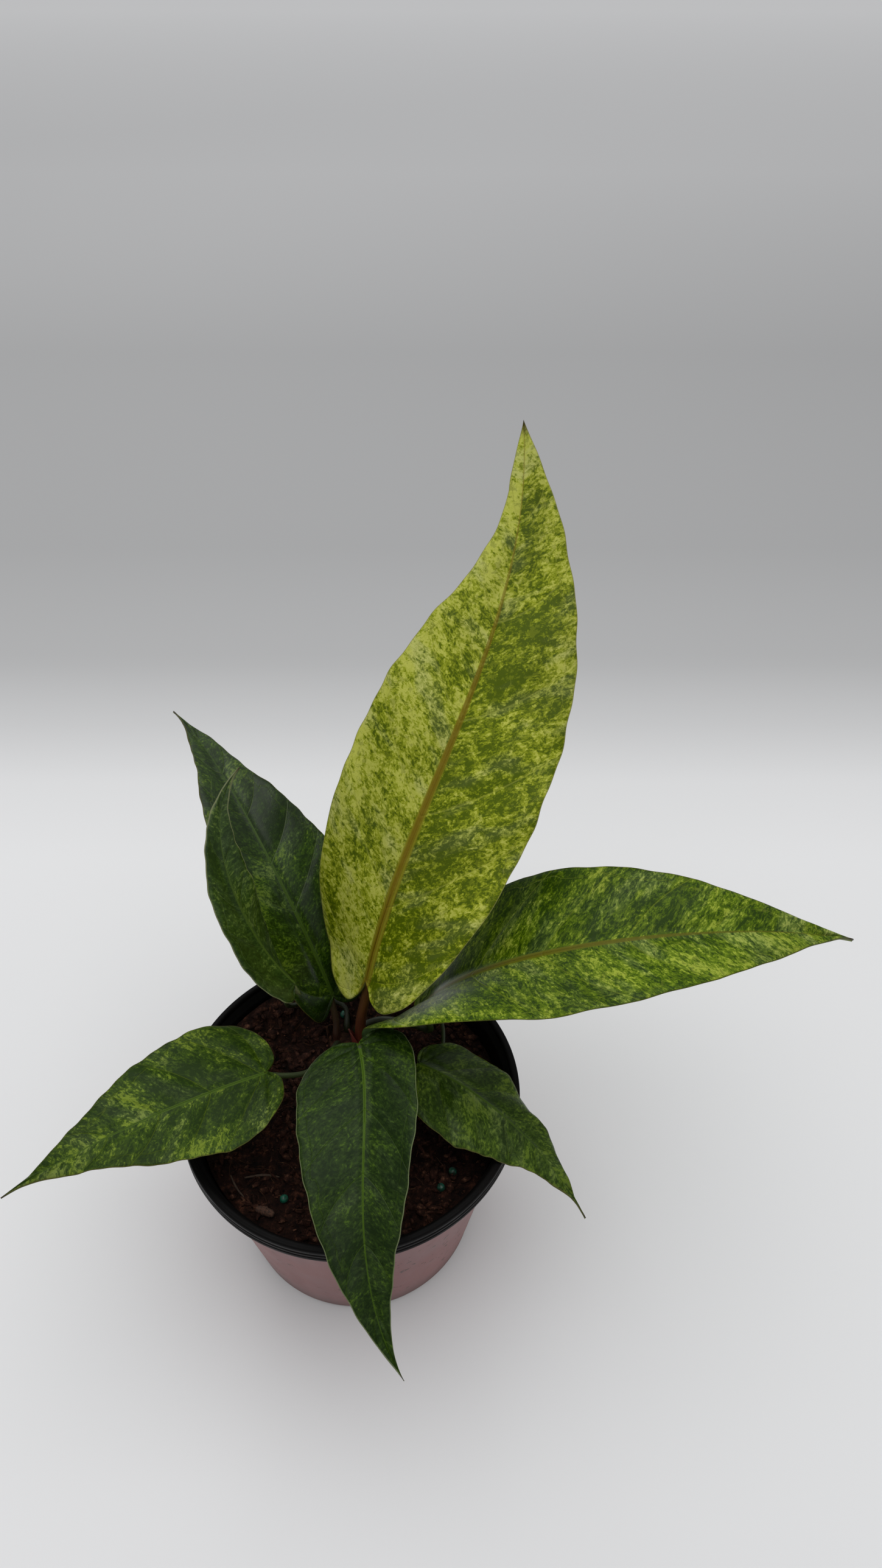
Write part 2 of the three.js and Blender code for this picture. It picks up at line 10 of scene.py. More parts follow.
import logging
import math
import random
from dataclasses import dataclass
from enum import Enum
from functools import reduce
from typing import Callable, Sequence

import bmesh
import bpy
import numpy as np
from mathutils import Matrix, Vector, noise

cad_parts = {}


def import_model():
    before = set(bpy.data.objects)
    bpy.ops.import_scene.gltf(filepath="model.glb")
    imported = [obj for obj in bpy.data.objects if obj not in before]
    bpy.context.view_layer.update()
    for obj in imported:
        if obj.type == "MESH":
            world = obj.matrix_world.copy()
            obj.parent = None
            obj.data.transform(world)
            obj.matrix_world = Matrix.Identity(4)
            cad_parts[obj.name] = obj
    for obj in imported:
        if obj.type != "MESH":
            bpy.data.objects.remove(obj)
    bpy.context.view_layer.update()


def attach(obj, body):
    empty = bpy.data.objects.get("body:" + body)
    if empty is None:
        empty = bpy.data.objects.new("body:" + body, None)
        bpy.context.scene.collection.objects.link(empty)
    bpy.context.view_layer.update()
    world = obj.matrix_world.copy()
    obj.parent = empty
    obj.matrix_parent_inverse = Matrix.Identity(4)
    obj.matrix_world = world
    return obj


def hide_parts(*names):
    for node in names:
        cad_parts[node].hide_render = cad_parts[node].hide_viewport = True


LOG = logging.getLogger("potted_anthurium")
MM = 0.001
ROOT_BODY = "root"

Colour = tuple[float, float, float]
Place = tuple[float, float, float]
Spot = tuple[float, float]
Bend = tuple[float, float, float]
Array = np.ndarray
Faces = list[list[int]]


# ------------------------------------------------------------------ small helpers


def srgb(red: int, green: int, blue: int) -> Colour:
    """Linear colour of a display colour.

    Args:
        red: Red, up to 255.
        green: Green, up to 255.
        blue: Blue, up to 255.

    Returns:
        The three linear values, up to 1.
    """

    def linear(value: int) -> float:
        """Linear value of one channel."""
        share = value / 255
        return share / 12.92 if share <= 0.04045 else ((share + 0.055) / 1.055) ** 2.4

    return (linear(red), linear(green), linear(blue))


def smoothstep(low: float, high: float, value: Array) -> Array:
    """Smooth rise from 0 at low to 1 at high."""
    share = np.clip((value - low) / (high - low), 0, 1)
    return share * share * (3 - 2 * share)


def full_turn(count: int) -> Array:
    """Evenly spaced angles round a full turn, in radians."""
    return np.linspace(0, 2 * math.pi, count, endpoint=False)


def noise_at(points: Array, scale: float, shift: Place) -> Array:
    """Noise at points that are scaled and then shifted."""
    return np.array([noise.noise(Vector(point) * scale + Vector(shift)) for point in points])


def link(name: str, data: bpy.types.ID) -> bpy.types.Object:
    """Make an object and link it to the scene.

    Args:
        name: The object's name.
        data: Its mesh, light or camera.

    Returns:
        The object.
    """
    made = bpy.data.objects.new(name, data)
    bpy.context.scene.collection.objects.link(made)
    return made


def mesh_object(
    name: str,
    vertices: Array,
    faces: Array | Faces,
    maps: dict[str, Array] | None = None,
    smooth: bool = True,
) -> bpy.types.Object:
    """Make a mesh object.

    Args:
        name: The piece's name.
        vertices: Points in millimetres, one row each.
        faces: Vertex numbers of each face.
        maps: UV maps by name, each with one pair for each vertex.
        smooth: Whether the faces are shaded as one smooth surface.

    Returns:
        The object, linked to the scene.
    """
    mesh = bpy.data.meshes.new(name)
    corners = faces.tolist() if isinstance(faces, np.ndarray) else faces
    mesh.from_pydata((vertices * MM).tolist(), [], corners)
    mesh.update()
    loop_vertices = np.empty(len(mesh.loops), dtype=np.int32)
    mesh.loops.foreach_get("vertex_index", loop_vertices)
    for map_name, pairs in (maps or {}).items():
        layer = mesh.uv_layers.new(name=map_name)
        layer.data.foreach_set("uv", pairs[loop_vertices].astype(np.float32).ravel())
    if smooth:
        mesh.shade_smooth()
    return link(name, mesh)


def icosphere(subdivisions: int) -> tuple[Array, Array]:
    """Make a sphere of radius 1 from near-equal triangles.

    Args:
        subdivisions: How finely it is divided.

    Returns:
        Its points and its triangles.
    """
    work = bmesh.new()
    bmesh.ops.create_icosphere(work, subdivisions=subdivisions, radius=1.0)
    points = np.array([vertex.co[:] for vertex in work.verts])
    triangles = np.array([[vertex.index for vertex in face.verts] for face in work.faces])
    work.free()
    return points, triangles


def weld(piece: bpy.types.Object, distance: float = 0.01) -> None:
    """Join vertices that meet.

    Args:
        piece: The piece to mend.
        distance: How near two vertices lie to count as one.
    """
    work = bmesh.new()
    work.from_mesh(piece.data)
    bmesh.ops.remove_doubles(work, verts=work.verts, dist=distance * MM)
    work.to_mesh(piece.data)
    work.free()


def grid_faces(rows: int, columns: int, closed: bool = False, first: int = 0) -> Array:
    """Quads of a grid of vertices stored row by row.

    Args:
        rows: Number of vertex rows.
        columns: Number of vertices in a row.
        closed: Whether each row joins up with its own start.
        first: Number of the grid's first vertex.

    Returns:
        One row of four vertex numbers for each quad.
    """
    row = np.arange(rows - 1)[:, None]
    column = np.arange(columns if closed else columns - 1)[None]
    after = (column + 1) % columns
    quads = [row * columns + column, (row + 1) * columns + column]
    quads += [(row + 1) * columns + after, row * columns + after]
    return np.stack([quad.ravel() for quad in quads], axis=1) + first


def finish_piece(
    piece: bpy.types.Object,
    materials: Sequence[bpy.types.Material],
    slot: str,
    *nodes: str,
) -> bpy.types.Object:
    """Dress a piece, tie it to the body and hide the CAD nodes that it replaces.

    Args:
        piece: The new piece.
        materials: Its materials, in slot order.
        slot: The record's material slot; not used.
        nodes: CAD nodes that the piece replaces.

    Returns:
        The same piece.
    """
    for material in materials:
        piece.data.materials.append(material)
    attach(piece, ROOT_BODY)
    if nodes:
        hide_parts(*nodes)
    LOG.info("%s: %d faces", piece.name, len(piece.data.polygons))
    return piece


# ------------------------------------------------------------------ material graph


def set_stops(ramp: bpy.types.Node, stops: Sequence[tuple[float, Colour]]) -> None:
    """Set the stops of a colour ramp.

    Args:
        ramp: The colour ramp's node.
        stops: Places in rising order, each with its colour.
    """
    elements = ramp.color_ramp.elements
    while len(elements) < len(stops):
        elements.new(0.5)
    for element, (place, colour) in zip(elements, stops):
        element.position = place
        element.color = (*colour, 1.0)


class Graph:
    """A material's node tree with one Principled shader, built by short calls."""

    def __init__(self, name: str) -> None:
        """Make the material and find its shader.

        Args:
            name: The material's name.
        """
        self.material = bpy.data.materials.new(name)
        self.material.use_nodes = True
        self.tree = self.material.node_tree
        self.shader = self.tree.nodes["Principled BSDF"]

    def node(self, kind: str, inputs: dict | None = None, **settings: object) -> bpy.types.Node:
        """Add a node.

        Args:
            kind: The node type's name.
            inputs: Values or sockets for its inputs, by name or number.
            settings: Properties of the node itself.

        Returns:
            The node.
        """
        made = self.tree.nodes.new(kind)
        for key, value in settings.items():
            setattr(made, key, value)
        for key, value in (inputs or {}).items():
            self.feed(made.inputs[key], value)
        return made

    def feed(self, socket: bpy.types.NodeSocket, value: object) -> None:
        """Link a socket to another, or set its value.

        Args:
            socket: The input to feed.
            value: A socket, a number, a vector or a colour.
        """
        if isinstance(value, bpy.types.NodeSocket):
            self.tree.links.new(value, socket)
        elif isinstance(value, tuple) and len(value) == 3 and socket.type == "RGBA":
            socket.default_value = (*value, 1.0)
        else:
            socket.default_value = value

    def set(self, **values: object) -> None:
        """Set or link inputs of the shader, with _ for each space in a name."""
        for key, value in values.items():
            self.feed(self.shader.inputs[key.replace("_", " ")], value)

    def map(self, name: str) -> bpy.types.NodeSocket:
        """Vector of a UV map."""
        return self.node("ShaderNodeUVMap", uv_map=name).outputs["UV"]

    def split(self, vector: bpy.types.NodeSocket) -> tuple:
        """The three parts of a vector."""
        parts = self.node("ShaderNodeSeparateXYZ", {0: vector}).outputs
        return parts[0], parts[1], parts[2]

    def object_place(self) -> bpy.types.NodeSocket:
        """Place on the object, in metres."""
        return self.node("ShaderNodeTexCoord").outputs["Object"]

    def stretch(self, vector: object, scale: Place = (1, 1, 1), shift: Place = (0, 0, 0)) -> object:
        """Scale and shift a texture vector."""
        inputs = {"Vector": vector, "Scale": scale, "Location": shift}
        return self.node("ShaderNodeMapping", inputs).outputs[0]

    def math(self, operation: str, first: object, second: object = 0.0) -> object:
        """Arithmetic on one or two numbers."""
        return self.node("ShaderNodeMath", {0: first, 1: second}, operation=operation).outputs[0]

    def times(self, first: object, second: object) -> object:
        """One number times another."""
        return self.math("MULTIPLY", first, second)

    def total(self, *parts: object) -> object:
        """Sum of several numbers."""
        return reduce(lambda first, second: self.math("ADD", first, second), parts)

    def weighted(self, *parts: tuple[object, float]) -> object:
        """Sum of several numbers, each times its weight."""
        return self.total(*(self.times(value, weight) for value, weight in parts))

    def vector_math(self, operation: str, inputs: dict) -> object:
        """Arithmetic on vectors, with the inputs by number."""
        return self.node("ShaderNodeVectorMath", inputs, operation=operation).outputs[0]

    def noise(self, vector: object, scale: float, detail: float = 2, rough: float = 0.5) -> object:
        """Noise value about 0.5."""
        inputs = {"Vector": vector, "Scale": scale, "Detail": detail, "Roughness": rough}
        return self.node("ShaderNodeTexNoise", inputs).outputs[0]

    def step(
        self, value: object, low: float, high: float, start: float = 0, end: float = 1
    ) -> object:
        """Smooth change from start at low to end at high."""
        inputs = {0: value, 1: low, 2: high, 3: start, 4: end}
        return self.node("ShaderNodeMapRange", inputs, interpolation_type="SMOOTHSTEP").outputs[0]

    def ramp(self, value: object, stops: Sequence[tuple[float, Colour]]) -> object:
        """Colour along a list of places and colours.

        Args:
            value: Number to look up.
            stops: Places in rising order, each with its colour.

        Returns:
            The colour.
        """
        made = self.node("ShaderNodeValToRGB", {0: value})
        set_stops(made, stops)
        return made.outputs[0]

    def mix(self, share: object, under: object, over: object) -> object:
        """Mix two colours; a share of 1 shows only the one over."""
        inputs = {0: share, 6: under, 7: over}
        return self.node("ShaderNodeMix", inputs, data_type="RGBA").outputs[2]

    def bump(self, height: object, distance: float, strength: float = 1.0) -> None:
        """Bump the shader's normal by a height whose unit is a distance in millimetres."""
        inputs = {"Height": height, "Distance": distance * MM, "Strength": strength}
        self.set(Normal=self.node("ShaderNodeBump", inputs).outputs[0])


class Finish:
    """What every finish can do: make a material from the nodes that it paints with."""

    def material(self, name: str) -> bpy.types.Material:
        """Make a material with this finish.

        Args:
            name: The material's name.

        Returns:
            The material.
        """
        graph = Graph(name)
        self.paint(graph)
        return graph.material

    def paint(self, graph: Graph) -> None:
        """Add the finish's nodes to a graph."""
        raise NotImplementedError


# ------------------------------------------------------------------ leaf finishes

DRIED_TIP = srgb(58, 44, 24)
LATERAL_VEINS = 8


@dataclass(frozen=True)
class Marbling(Finish):
    """Colours of a marbled blade, from its darkest green to its palest fleck.

    stops gives the pattern's values at which one green gives way to the next, so lower ones
    make a paler leaf. weights are the shares of the broad, middle and fine patterns. stretch
    below 1 draws the flecks out along the side veins, drift frays them, fineness shrinks them,
    and overlay is the strength of a second fine pattern. The gains of the left and right halves
    make each half paler (above 0) or darker (below 0) through its flecks: partly the half's own
    marbling, partly painted light, painted shade and painted sheen for how light and gloss fall
    on that half. tip_gain makes the tip paler and edge_gain the margins. vein_tint is how pale
    the side veins are.
    """

    dark: Colour
    mid: Colour
    light: Colour
    pale: Colour
    midrib: Colour
    margin: Colour
    stops: tuple[float, float, float]
    weights: tuple[float, float, float] = (0.24, 0.44, 0.32)
    crispness: float = 0.008
    stretch: float = 0.62
    drift: float = 0.04
    fineness: float = 1.0
    overlay: float = 0.32
    left_flecks_and_light: float = 0.0
    right_flecks_and_light: float = 0.0
    tip_gain: float = 0.0
    edge_gain: float = 0.0
    midrib_width: float = 1.6
    gloss: float = 0.38
    sheen: float = 0.25
    vein_tint: float = 0.26
    seed: float = 0.0

    def paint(self, graph: Graph) -> None:
        """Paint the upper face by the blade's maps.

        Args:
            graph: The graph to paint in.
        """
        vein_map = graph.map("veins")
        from_rib, from_margin, _ = graph.split(graph.map("distances"))
        share, _, _ = graph.split(graph.map("shares"))
        flow = self._flow(graph)
        mottled = self._mottle(graph, flow, vein_map, share)

        tone = graph.noise(vein_map, 2.2, 2, 0.5)
        shaded = graph.node("ShaderNodeHueSaturation", {"Color": mottled})
        graph.feed(shaded.inputs["Value"], graph.step(tone, 0.3, 0.7, 0.88, 1.12))
        # Greyer patches: painted sheen, the leaf's grey gloss reflection drawn into its colour.
        painted_sheen_patches = graph.noise(graph.stretch(flow, (1.0, 2.2, 1.0)), 5.5, 2, 0.5)
        graph.feed(shaded.inputs["Saturation"], graph.step(painted_sheen_patches, 0.5, 0.68, 1.0, 0.88))

        lateral = self.lateral_veins(graph)
        veined = graph.mix(graph.times(lateral, self.vein_tint), shaded.outputs[0], self.pale)
        rib_half = graph.step(share, 0.0, 0.95, self.midrib_width * 0.01, 0.0025)
        rib_place = graph.math("DIVIDE", from_rib, rib_half)
        lines = graph.noise(graph.stretch(graph.map("distances"), (90.0, 0.0, 1.0)), 1.0, 2, 0.5)
        rib_colour = graph.mix(graph.step(lines, 0.4, 0.65, 0.0, 0.45), self.midrib, self.light)
        fading = graph.step(share, 0.35, 0.95, 0.95, 0.45)
        rib_share = graph.times(graph.step(rib_place, 0.8, 1.2, 1.0, 0.0), fading)
        ribbed = graph.mix(rib_share, veined, rib_colour)
        edge = graph.step(from_margin, 0.002, 0.0045, 0.75, 0.0)
        edged = graph.mix(edge, ribbed, self.margin)
        drying = graph.step(share, 0.965, 0.995, 0.0, 0.8)
        graph.set(Base_Color=graph.mix(drying, edged, DRIED_TIP))

        grain = graph.noise(vein_map, 170.0, 3, 0.6)
        smear = graph.noise(vein_map, 9.0, 4, 0.6)
        gloss = graph.step(smear, 0.3, 0.7, self.gloss - 0.05, self.gloss + 0.1)
        puckers = graph.noise(flow, 30.0, 3, 0.6)
        graph.bump(graph.weighted((grain, 0.4), (lateral, -0.7), (puckers, 0.5)), 0.2)
        graph.set(Roughness=gloss, Specular_IOR_Level=self.sheen, IOR=1.45)

    def _flow(self, graph: Graph) -> object:
        """Texture place drawn out along the side veins, with a small drift.

        Args:
            graph: The graph to build in.

        Returns:
            The place, as a vector.
        """
        place = graph.map("flecks")
        drawn = graph.stretch(place, (self.stretch, 1.0, 1.0), (self.seed, 0.0, self.seed))
        inputs = {"Vector": drawn, "Scale": 14.0, "Detail": 3.0}
        drift = graph.node("ShaderNodeTexNoise", inputs).outputs[1]
        centred = graph.vector_math("SUBTRACT", {0: drift, 1: (0.5, 0.5, 0.5)})
        small = graph.vector_math("SCALE", {0: centred, 3: self.drift})
        return graph.vector_math("ADD", {0: drawn, 1: small})

    def _mottle(self, graph: Graph, flow: object, vein_map: object, share: object) -> object:
        """Crisp flecks of four greens, gathered in patches.

        Args:
            graph: The graph to build in.
            flow: The drawn-out texture place.
            vein_map: The map by the veins.
            share: Share of the way to the tip.

        Returns:
            The colour.
        """
        broad = graph.noise(flow, 6.5, 2, 0.5)
        middle_place = graph.stretch(flow, shift=(3.0, 5.0, 0.0))
        middle = graph.noise(middle_place, 30.0 * self.fineness, 7, 0.74)
        fine_place = graph.stretch(flow, shift=(9.0, 2.0, 0.0))
        fine = graph.noise(fine_place, 92.0 * self.fineness, 4, 0.68)
        left = graph.step(graph.split(vein_map)[1], -0.001, 0.001)
        from_margin = graph.split(graph.map("distances"))[1]
        # Each half's gain shifts its flecks: partly its own marbling, partly painted light and
        # shade on that half.
        blend = graph.total(
            graph.weighted(*zip((broad, middle, fine), self.weights)),
            graph.total(graph.times(left, self.left_flecks_and_light - self.right_flecks_and_light), self.right_flecks_and_light),
            graph.step(share, 0.55, 0.95, 0.0, self.tip_gain),
            graph.step(from_margin, 0.0, 0.16, self.edge_gain, 0.0),
        )
        colours = (self.dark, self.mid, self.light, self.pale)
        places = []
        for stop, below, above in zip(self.stops, colours, colours[1:]):
            places += [(stop - self.crispness, below), (stop + self.crispness, above)]
        base = graph.ramp(blend, places)
        other = graph.noise(graph.stretch(flow, (1.0, 0.8, 1.0), (1.0, 7.0, 4.0)), 48.0, 6, 0.7)
        darker = graph.mix(graph.step(other, 0.44, 0.455, 1.4 * self.overlay, 0.0), base, self.dark)
        return graph.mix(graph.step(other, 0.545, 0.56, 0.0, self.overlay), darker, self.light)

    @staticmethod
    def lateral_veins(graph: Graph) -> object:
        """Find the lateral veins and the vein inside the margin that joins them.

        Args:
            graph: The graph to build in.

        Returns:
            1 on the veins, else 0.
        """
        _, phase, _ = graph.split(graph.map("shares"))
        wave = graph.math("SINE", graph.times(phase, math.pi * LATERAL_VEINS))
        lateral = graph.step(graph.math("ABSOLUTE", wave), 0.0, 0.07, 1.0, 0.0)
        from_rib, from_margin, _ = graph.split(graph.map("distances"))
        wander = graph.noise(graph.map("veins"), 9.0, 2, 0.5)
        place = graph.math("SUBTRACT", from_margin, graph.step(wander, 0.3, 0.7, 0.032, 0.062))
        joining = graph.step(graph.math("ABSOLUTE", place), 0.0008, 0.0032, 0.8, 0.0)
        joining = graph.times(joining, graph.step(from_rib, 0.05, 0.1))
        return graph.math("MAXIMUM", lateral, joining)


@dataclass(frozen=True)
class Underside(Finish):
    """The paler, duller lower face of a blade."""

    tissue: Colour
    vein: Colour

    def paint(self, graph: Graph) -> None:
        """Paint the lower face by the blade's maps.

        Args:
            graph: The graph to paint in.
        """
        vein_map = graph.map("veins")
        from_rib, _, _ = graph.split(graph.map("distances"))
        mottle = graph.noise(graph.stretch(vein_map, (1.0, 0.4, 1.0)), 30.0, 5, 0.6)
        pale = tuple(min(1.0, 1.5 * part + 0.02) for part in self.tissue)
        colour = graph.ramp(mottle, [(0.35, self.tissue), (0.7, pale)])
        lateral = Marbling.lateral_veins(graph)
        veined = graph.mix(graph.times(lateral, 0.5), colour, self.vein)
        rib = graph.step(from_rib, 0.010, 0.024, 0.95, 0.0)
        graph.set(Base_Color=graph.mix(rib, veined, self.vein), Roughness=0.55)
        graph.bump(graph.weighted((lateral, 0.8), (graph.noise(vein_map, 120.0, 2), 1.0)), 0.15)


@dataclass(frozen=True)
class StalkFinish(Finish):
    """A leaf stalk: its colour at the crown and at the blade, with fine lengthwise streaks."""

    low: Colour
    high: Colour
    streak: Colour

    def paint(self, graph: Graph) -> None:
        """Paint by the map, which runs round the stalk and then along it.

        Args:
            graph: The graph to paint in.
        """
        place = graph.map("stalk")
        _, along, _ = graph.split(place)
        body = graph.ramp(along, [(0.1, self.low), (0.85, self.high)])
        streaks = graph.noise(graph.stretch(place, (14.0, 3.0, 1.0)), 1.6, 5, 0.65)
        colour = graph.mix(graph.step(streaks, 0.45, 0.68, 0.0, 0.7), body, self.streak)
        dots = graph.noise(graph.stretch(place, (20.0, 60.0, 1.0)), 1.3, 2, 0.5)
        graph.set(
            Base_Color=graph.mix(graph.step(dots, 0.6, 0.72, 0.0, 0.35), colour, self.high),
            Roughness=graph.step(streaks, 0.3, 0.7, 0.38, 0.55),
        )
        graph.bump(streaks, 0.12)


PALE_BACK = Underside(tissue=srgb(112, 130, 60), vein=srgb(150, 150, 86))
GREEN_BACK = Underside(tissue=srgb(70, 98, 48), vein=srgb(128, 140, 78))
RED_STALK = StalkFinish(low=srgb(90, 36, 24), high=srgb(112, 80, 34), streak=srgb(70, 26, 18))
BROWN_STALK = StalkFinish(low=srgb(58, 32, 22), high=srgb(62, 54, 26), streak=srgb(40, 24, 16))
# The green stalks are darkened as painted shade, for they stand in the shadow under the leaves.
SHADE_DARKENED_GREEN_STALK = StalkFinish(low=srgb(30, 34, 12), high=srgb(48, 62, 18), streak=srgb(26, 34, 10))


# ------------------------------------------------------------------ leaf shape

LOBE_SHARE = 0.14
SHOULDER_SHARE = 0.36
FAN_SHARE = 0.18
VEIN_SWEEP = 0.05
VEIN_SLANT = 50.0
CROWN_TOP = 88.0


@dataclass(frozen=True)
class Swell:
    """A local change of a half blade's width: which side, where, by how much and how wide."""

    side: int
    at: float
    amount: float
    span: float


@dataclass(frozen=True)
class LeafShape:
    """One leaf: a flat heart outline laid along a bent spine, and its stalk.

    heading, rise, roll, fold and curl are degrees at the stalk, at half length and at the tip.
    """

    name: str
    joint: Place
    length: float
    left_width: float
    right_width: float
    left_lobe: float
    right_lobe: float
    lobe_narrowing: float
    widest_at: float
    taper: float
    heading: Bend
    rise: Bend
    roll: Bend
    fold: Bend
    curl: Bend
    lobe_drop: float
    stalk_radius: float
    stalk_foot: Spot
    stalk_via: tuple[Place, ...]
    swells: tuple[Swell, ...] = ()
    ripple: float = 0.8
    ripple_count: float = 4.5
    frill: float = 0.22
    quilting: float = 0.35

    # ---- the flat outline

    def outline(self, side: int, t: Array) -> Array:
        """Points of the flat outline of one half.

        Args:
            side: 1 for the left half, -1 for the right half.
            t: Shares of the way from the notch, round the lobe, to the tip.

        Returns:
            Distance along the midrib and away from it, one row for each share.
        """
        width = self.left_width if side > 0 else self.right_width
        lobe = self.left_lobe if side > 0 else self.right_lobe
        lobe_width = self.lobe_narrowing * width
        widest = self.widest_at * self.length
        lobe_end = (-lobe, lobe_width)
        notch = [(0, 0), (-0.45 * lobe, 0.02 * width), (-lobe, 0.5 * lobe_width), lobe_end]
        shoulder = [
            lobe_end,
            (-lobe, lobe_width + 0.6 * (width - lobe_width)),
            (widest - 0.55 * (widest + lobe), width),
            (widest, width),
        ]
        share = np.clip((t - SHOULDER_SHARE) / (1 - SHOULDER_SHARE), 0, 1)
        narrowing = (1 - share) ** self.taper * (1 + self.taper * share)
        tip = np.stack([widest + (self.length - widest) * share, width * narrowing], axis=1)
        first = self._bezier(notch, np.clip(t / LOBE_SHARE, 0, 1))
        second_share = (t - LOBE_SHARE) / (SHOULDER_SHARE - LOBE_SHARE)
        second = self._bezier(shoulder, np.clip(second_share, 0, 1))
        points = np.where((t < LOBE_SHARE)[:, None], first, second)
        points = np.where((t < SHOULDER_SHARE)[:, None], points, tip)
        for swell in self.swells:
            if swell.side != side:
                continue
            near = np.exp(-(((points[:, 0] / self.length - swell.at) / swell.span) ** 2))
            points[:, 1] += swell.amount * near * np.clip(points[:, 1] / (0.25 * width), 0, 1)
        waves = np.sin(61 * t + 2.1 * side + self.length) + 0.7 * np.sin(113 * t - side)
        points[:, 1] += self.frill * waves * np.clip(points[:, 1] / (0.4 * width), 0, 1)
        return points

    @staticmethod
    def _bezier(handles: Sequence[Spot], share: Array) -> Array:
        """Find points on a cubic curve.

        Args:
            handles: Its four handles.
            share: Shares of the way along it.

        Returns:
            One point for each share.
        """
        a, b, c, d = (np.array(handle, dtype=float) for handle in handles)
        s = share[:, None]
        return (1 - s) ** 3 * a + 3 * (1 - s) ** 2 * s * b + 3 * (1 - s) * s * s * c + s**3 * d

    def vein_starts(self, t: Array) -> Array:
        """Find where side veins start.

        Args:
            t: Shares of the way round the outline at which they end.

        Returns:
            Distances along the midrib at which they start.
        """
        fan = FAN_SHARE * self.length
        along = (self.outline(1, t)[:, 0] - fan) * self.length / (self.length - fan)
        return np.maximum(0, along)

    # ---- the bent blade

    @staticmethod
    def _along(values: Sequence[float], share: Array) -> Array:
        """Find values between three given ones.

        Args:
            values: The values at the stalk, at half length and at the tip.
            share: Shares of the length.

        Returns:
            The values of the parabola through the three.
        """
        start, half, tip = values
        rising = start * (1 - share) * (1 - 2 * share)
        return rising + 4 * half * share * (1 - share) + tip * share * (2 * share - 1)

    def _direction(self, share: Array) -> Array:
        """Find the directions of the spine.

        Args:
            share: Shares of the length.

        Returns:
            One unit vector for each share.
        """
        heading = np.radians(self._along(self.heading, share))
        rise = np.radians(self._along(self.rise, share))
        flat = np.cos(rise)
        parts = [flat * np.cos(heading), flat * np.sin(heading), np.sin(rise)]
        return np.stack(parts, axis=-1)

    def frames(self, x: Array) -> tuple[Array, Array, Array, Array]:
        """Find how the blade lies along its spine.

        Args:
            x: Distances along the midrib.

        Returns:
            The spine's points and directions, the leftward sides and the upward normals.
        """
        steps = 200
        middles = self._direction((np.arange(steps) + 0.5) / steps)
        spine = np.zeros((steps + 1, 3))
        spine[1:] = np.cumsum(middles, axis=0) * self.length / steps
        spine += np.array(self.joint)
        share = np.clip(x / self.length, 0, 1)
        direction = self._direction(share)
        heading = np.radians(self._along(self.heading, share))
        roll = np.radians(self._along(self.roll, share))[:, None]
        level = np.stack([-np.sin(heading), np.cos(heading), 0 * heading], axis=-1)
        upright = np.cross(direction, level)
        side = level * np.cos(roll) + upright * np.sin(roll)
        normal = upright * np.cos(roll) - level * np.sin(roll)
        places = np.linspace(0, 1, steps + 1)
        point = np.stack([np.interp(share, places, spine[:, k]) for k in range(3)], axis=-1)
        behind = np.minimum(x, 0)[:, None]
        point = point + behind * direction
        point = point + behind * math.tan(math.radians(self.lobe_drop)) * normal
        return point, direction, side, normal

    def place(self, x: Array, y: Array, side: int) -> tuple[Array, Array]:
        """Place points of a flat half blade in space.

        Args:
            x: Distances along the midrib.
            y: Distances away from it.
            side: 1 for the left half, -1 for the right half.

        Returns:
            The points and the blade's normals there.
        """
        point, _, across, normal = self.frames(x)
        share = np.clip(x / self.length, 0, 1)
        width = self.left_width if side > 0 else self.right_width
        raised = self._along(self.fold, share) + 0.5 * self._along(self.curl, share) * y / width
        angle = np.radians(raised)[:, None]
        out = y[:, None]
        placed = point + out * (side * np.cos(angle) * across + np.sin(angle) * normal)
        facing = normal * np.cos(angle) - side * np.sin(angle) * across
        return placed, facing


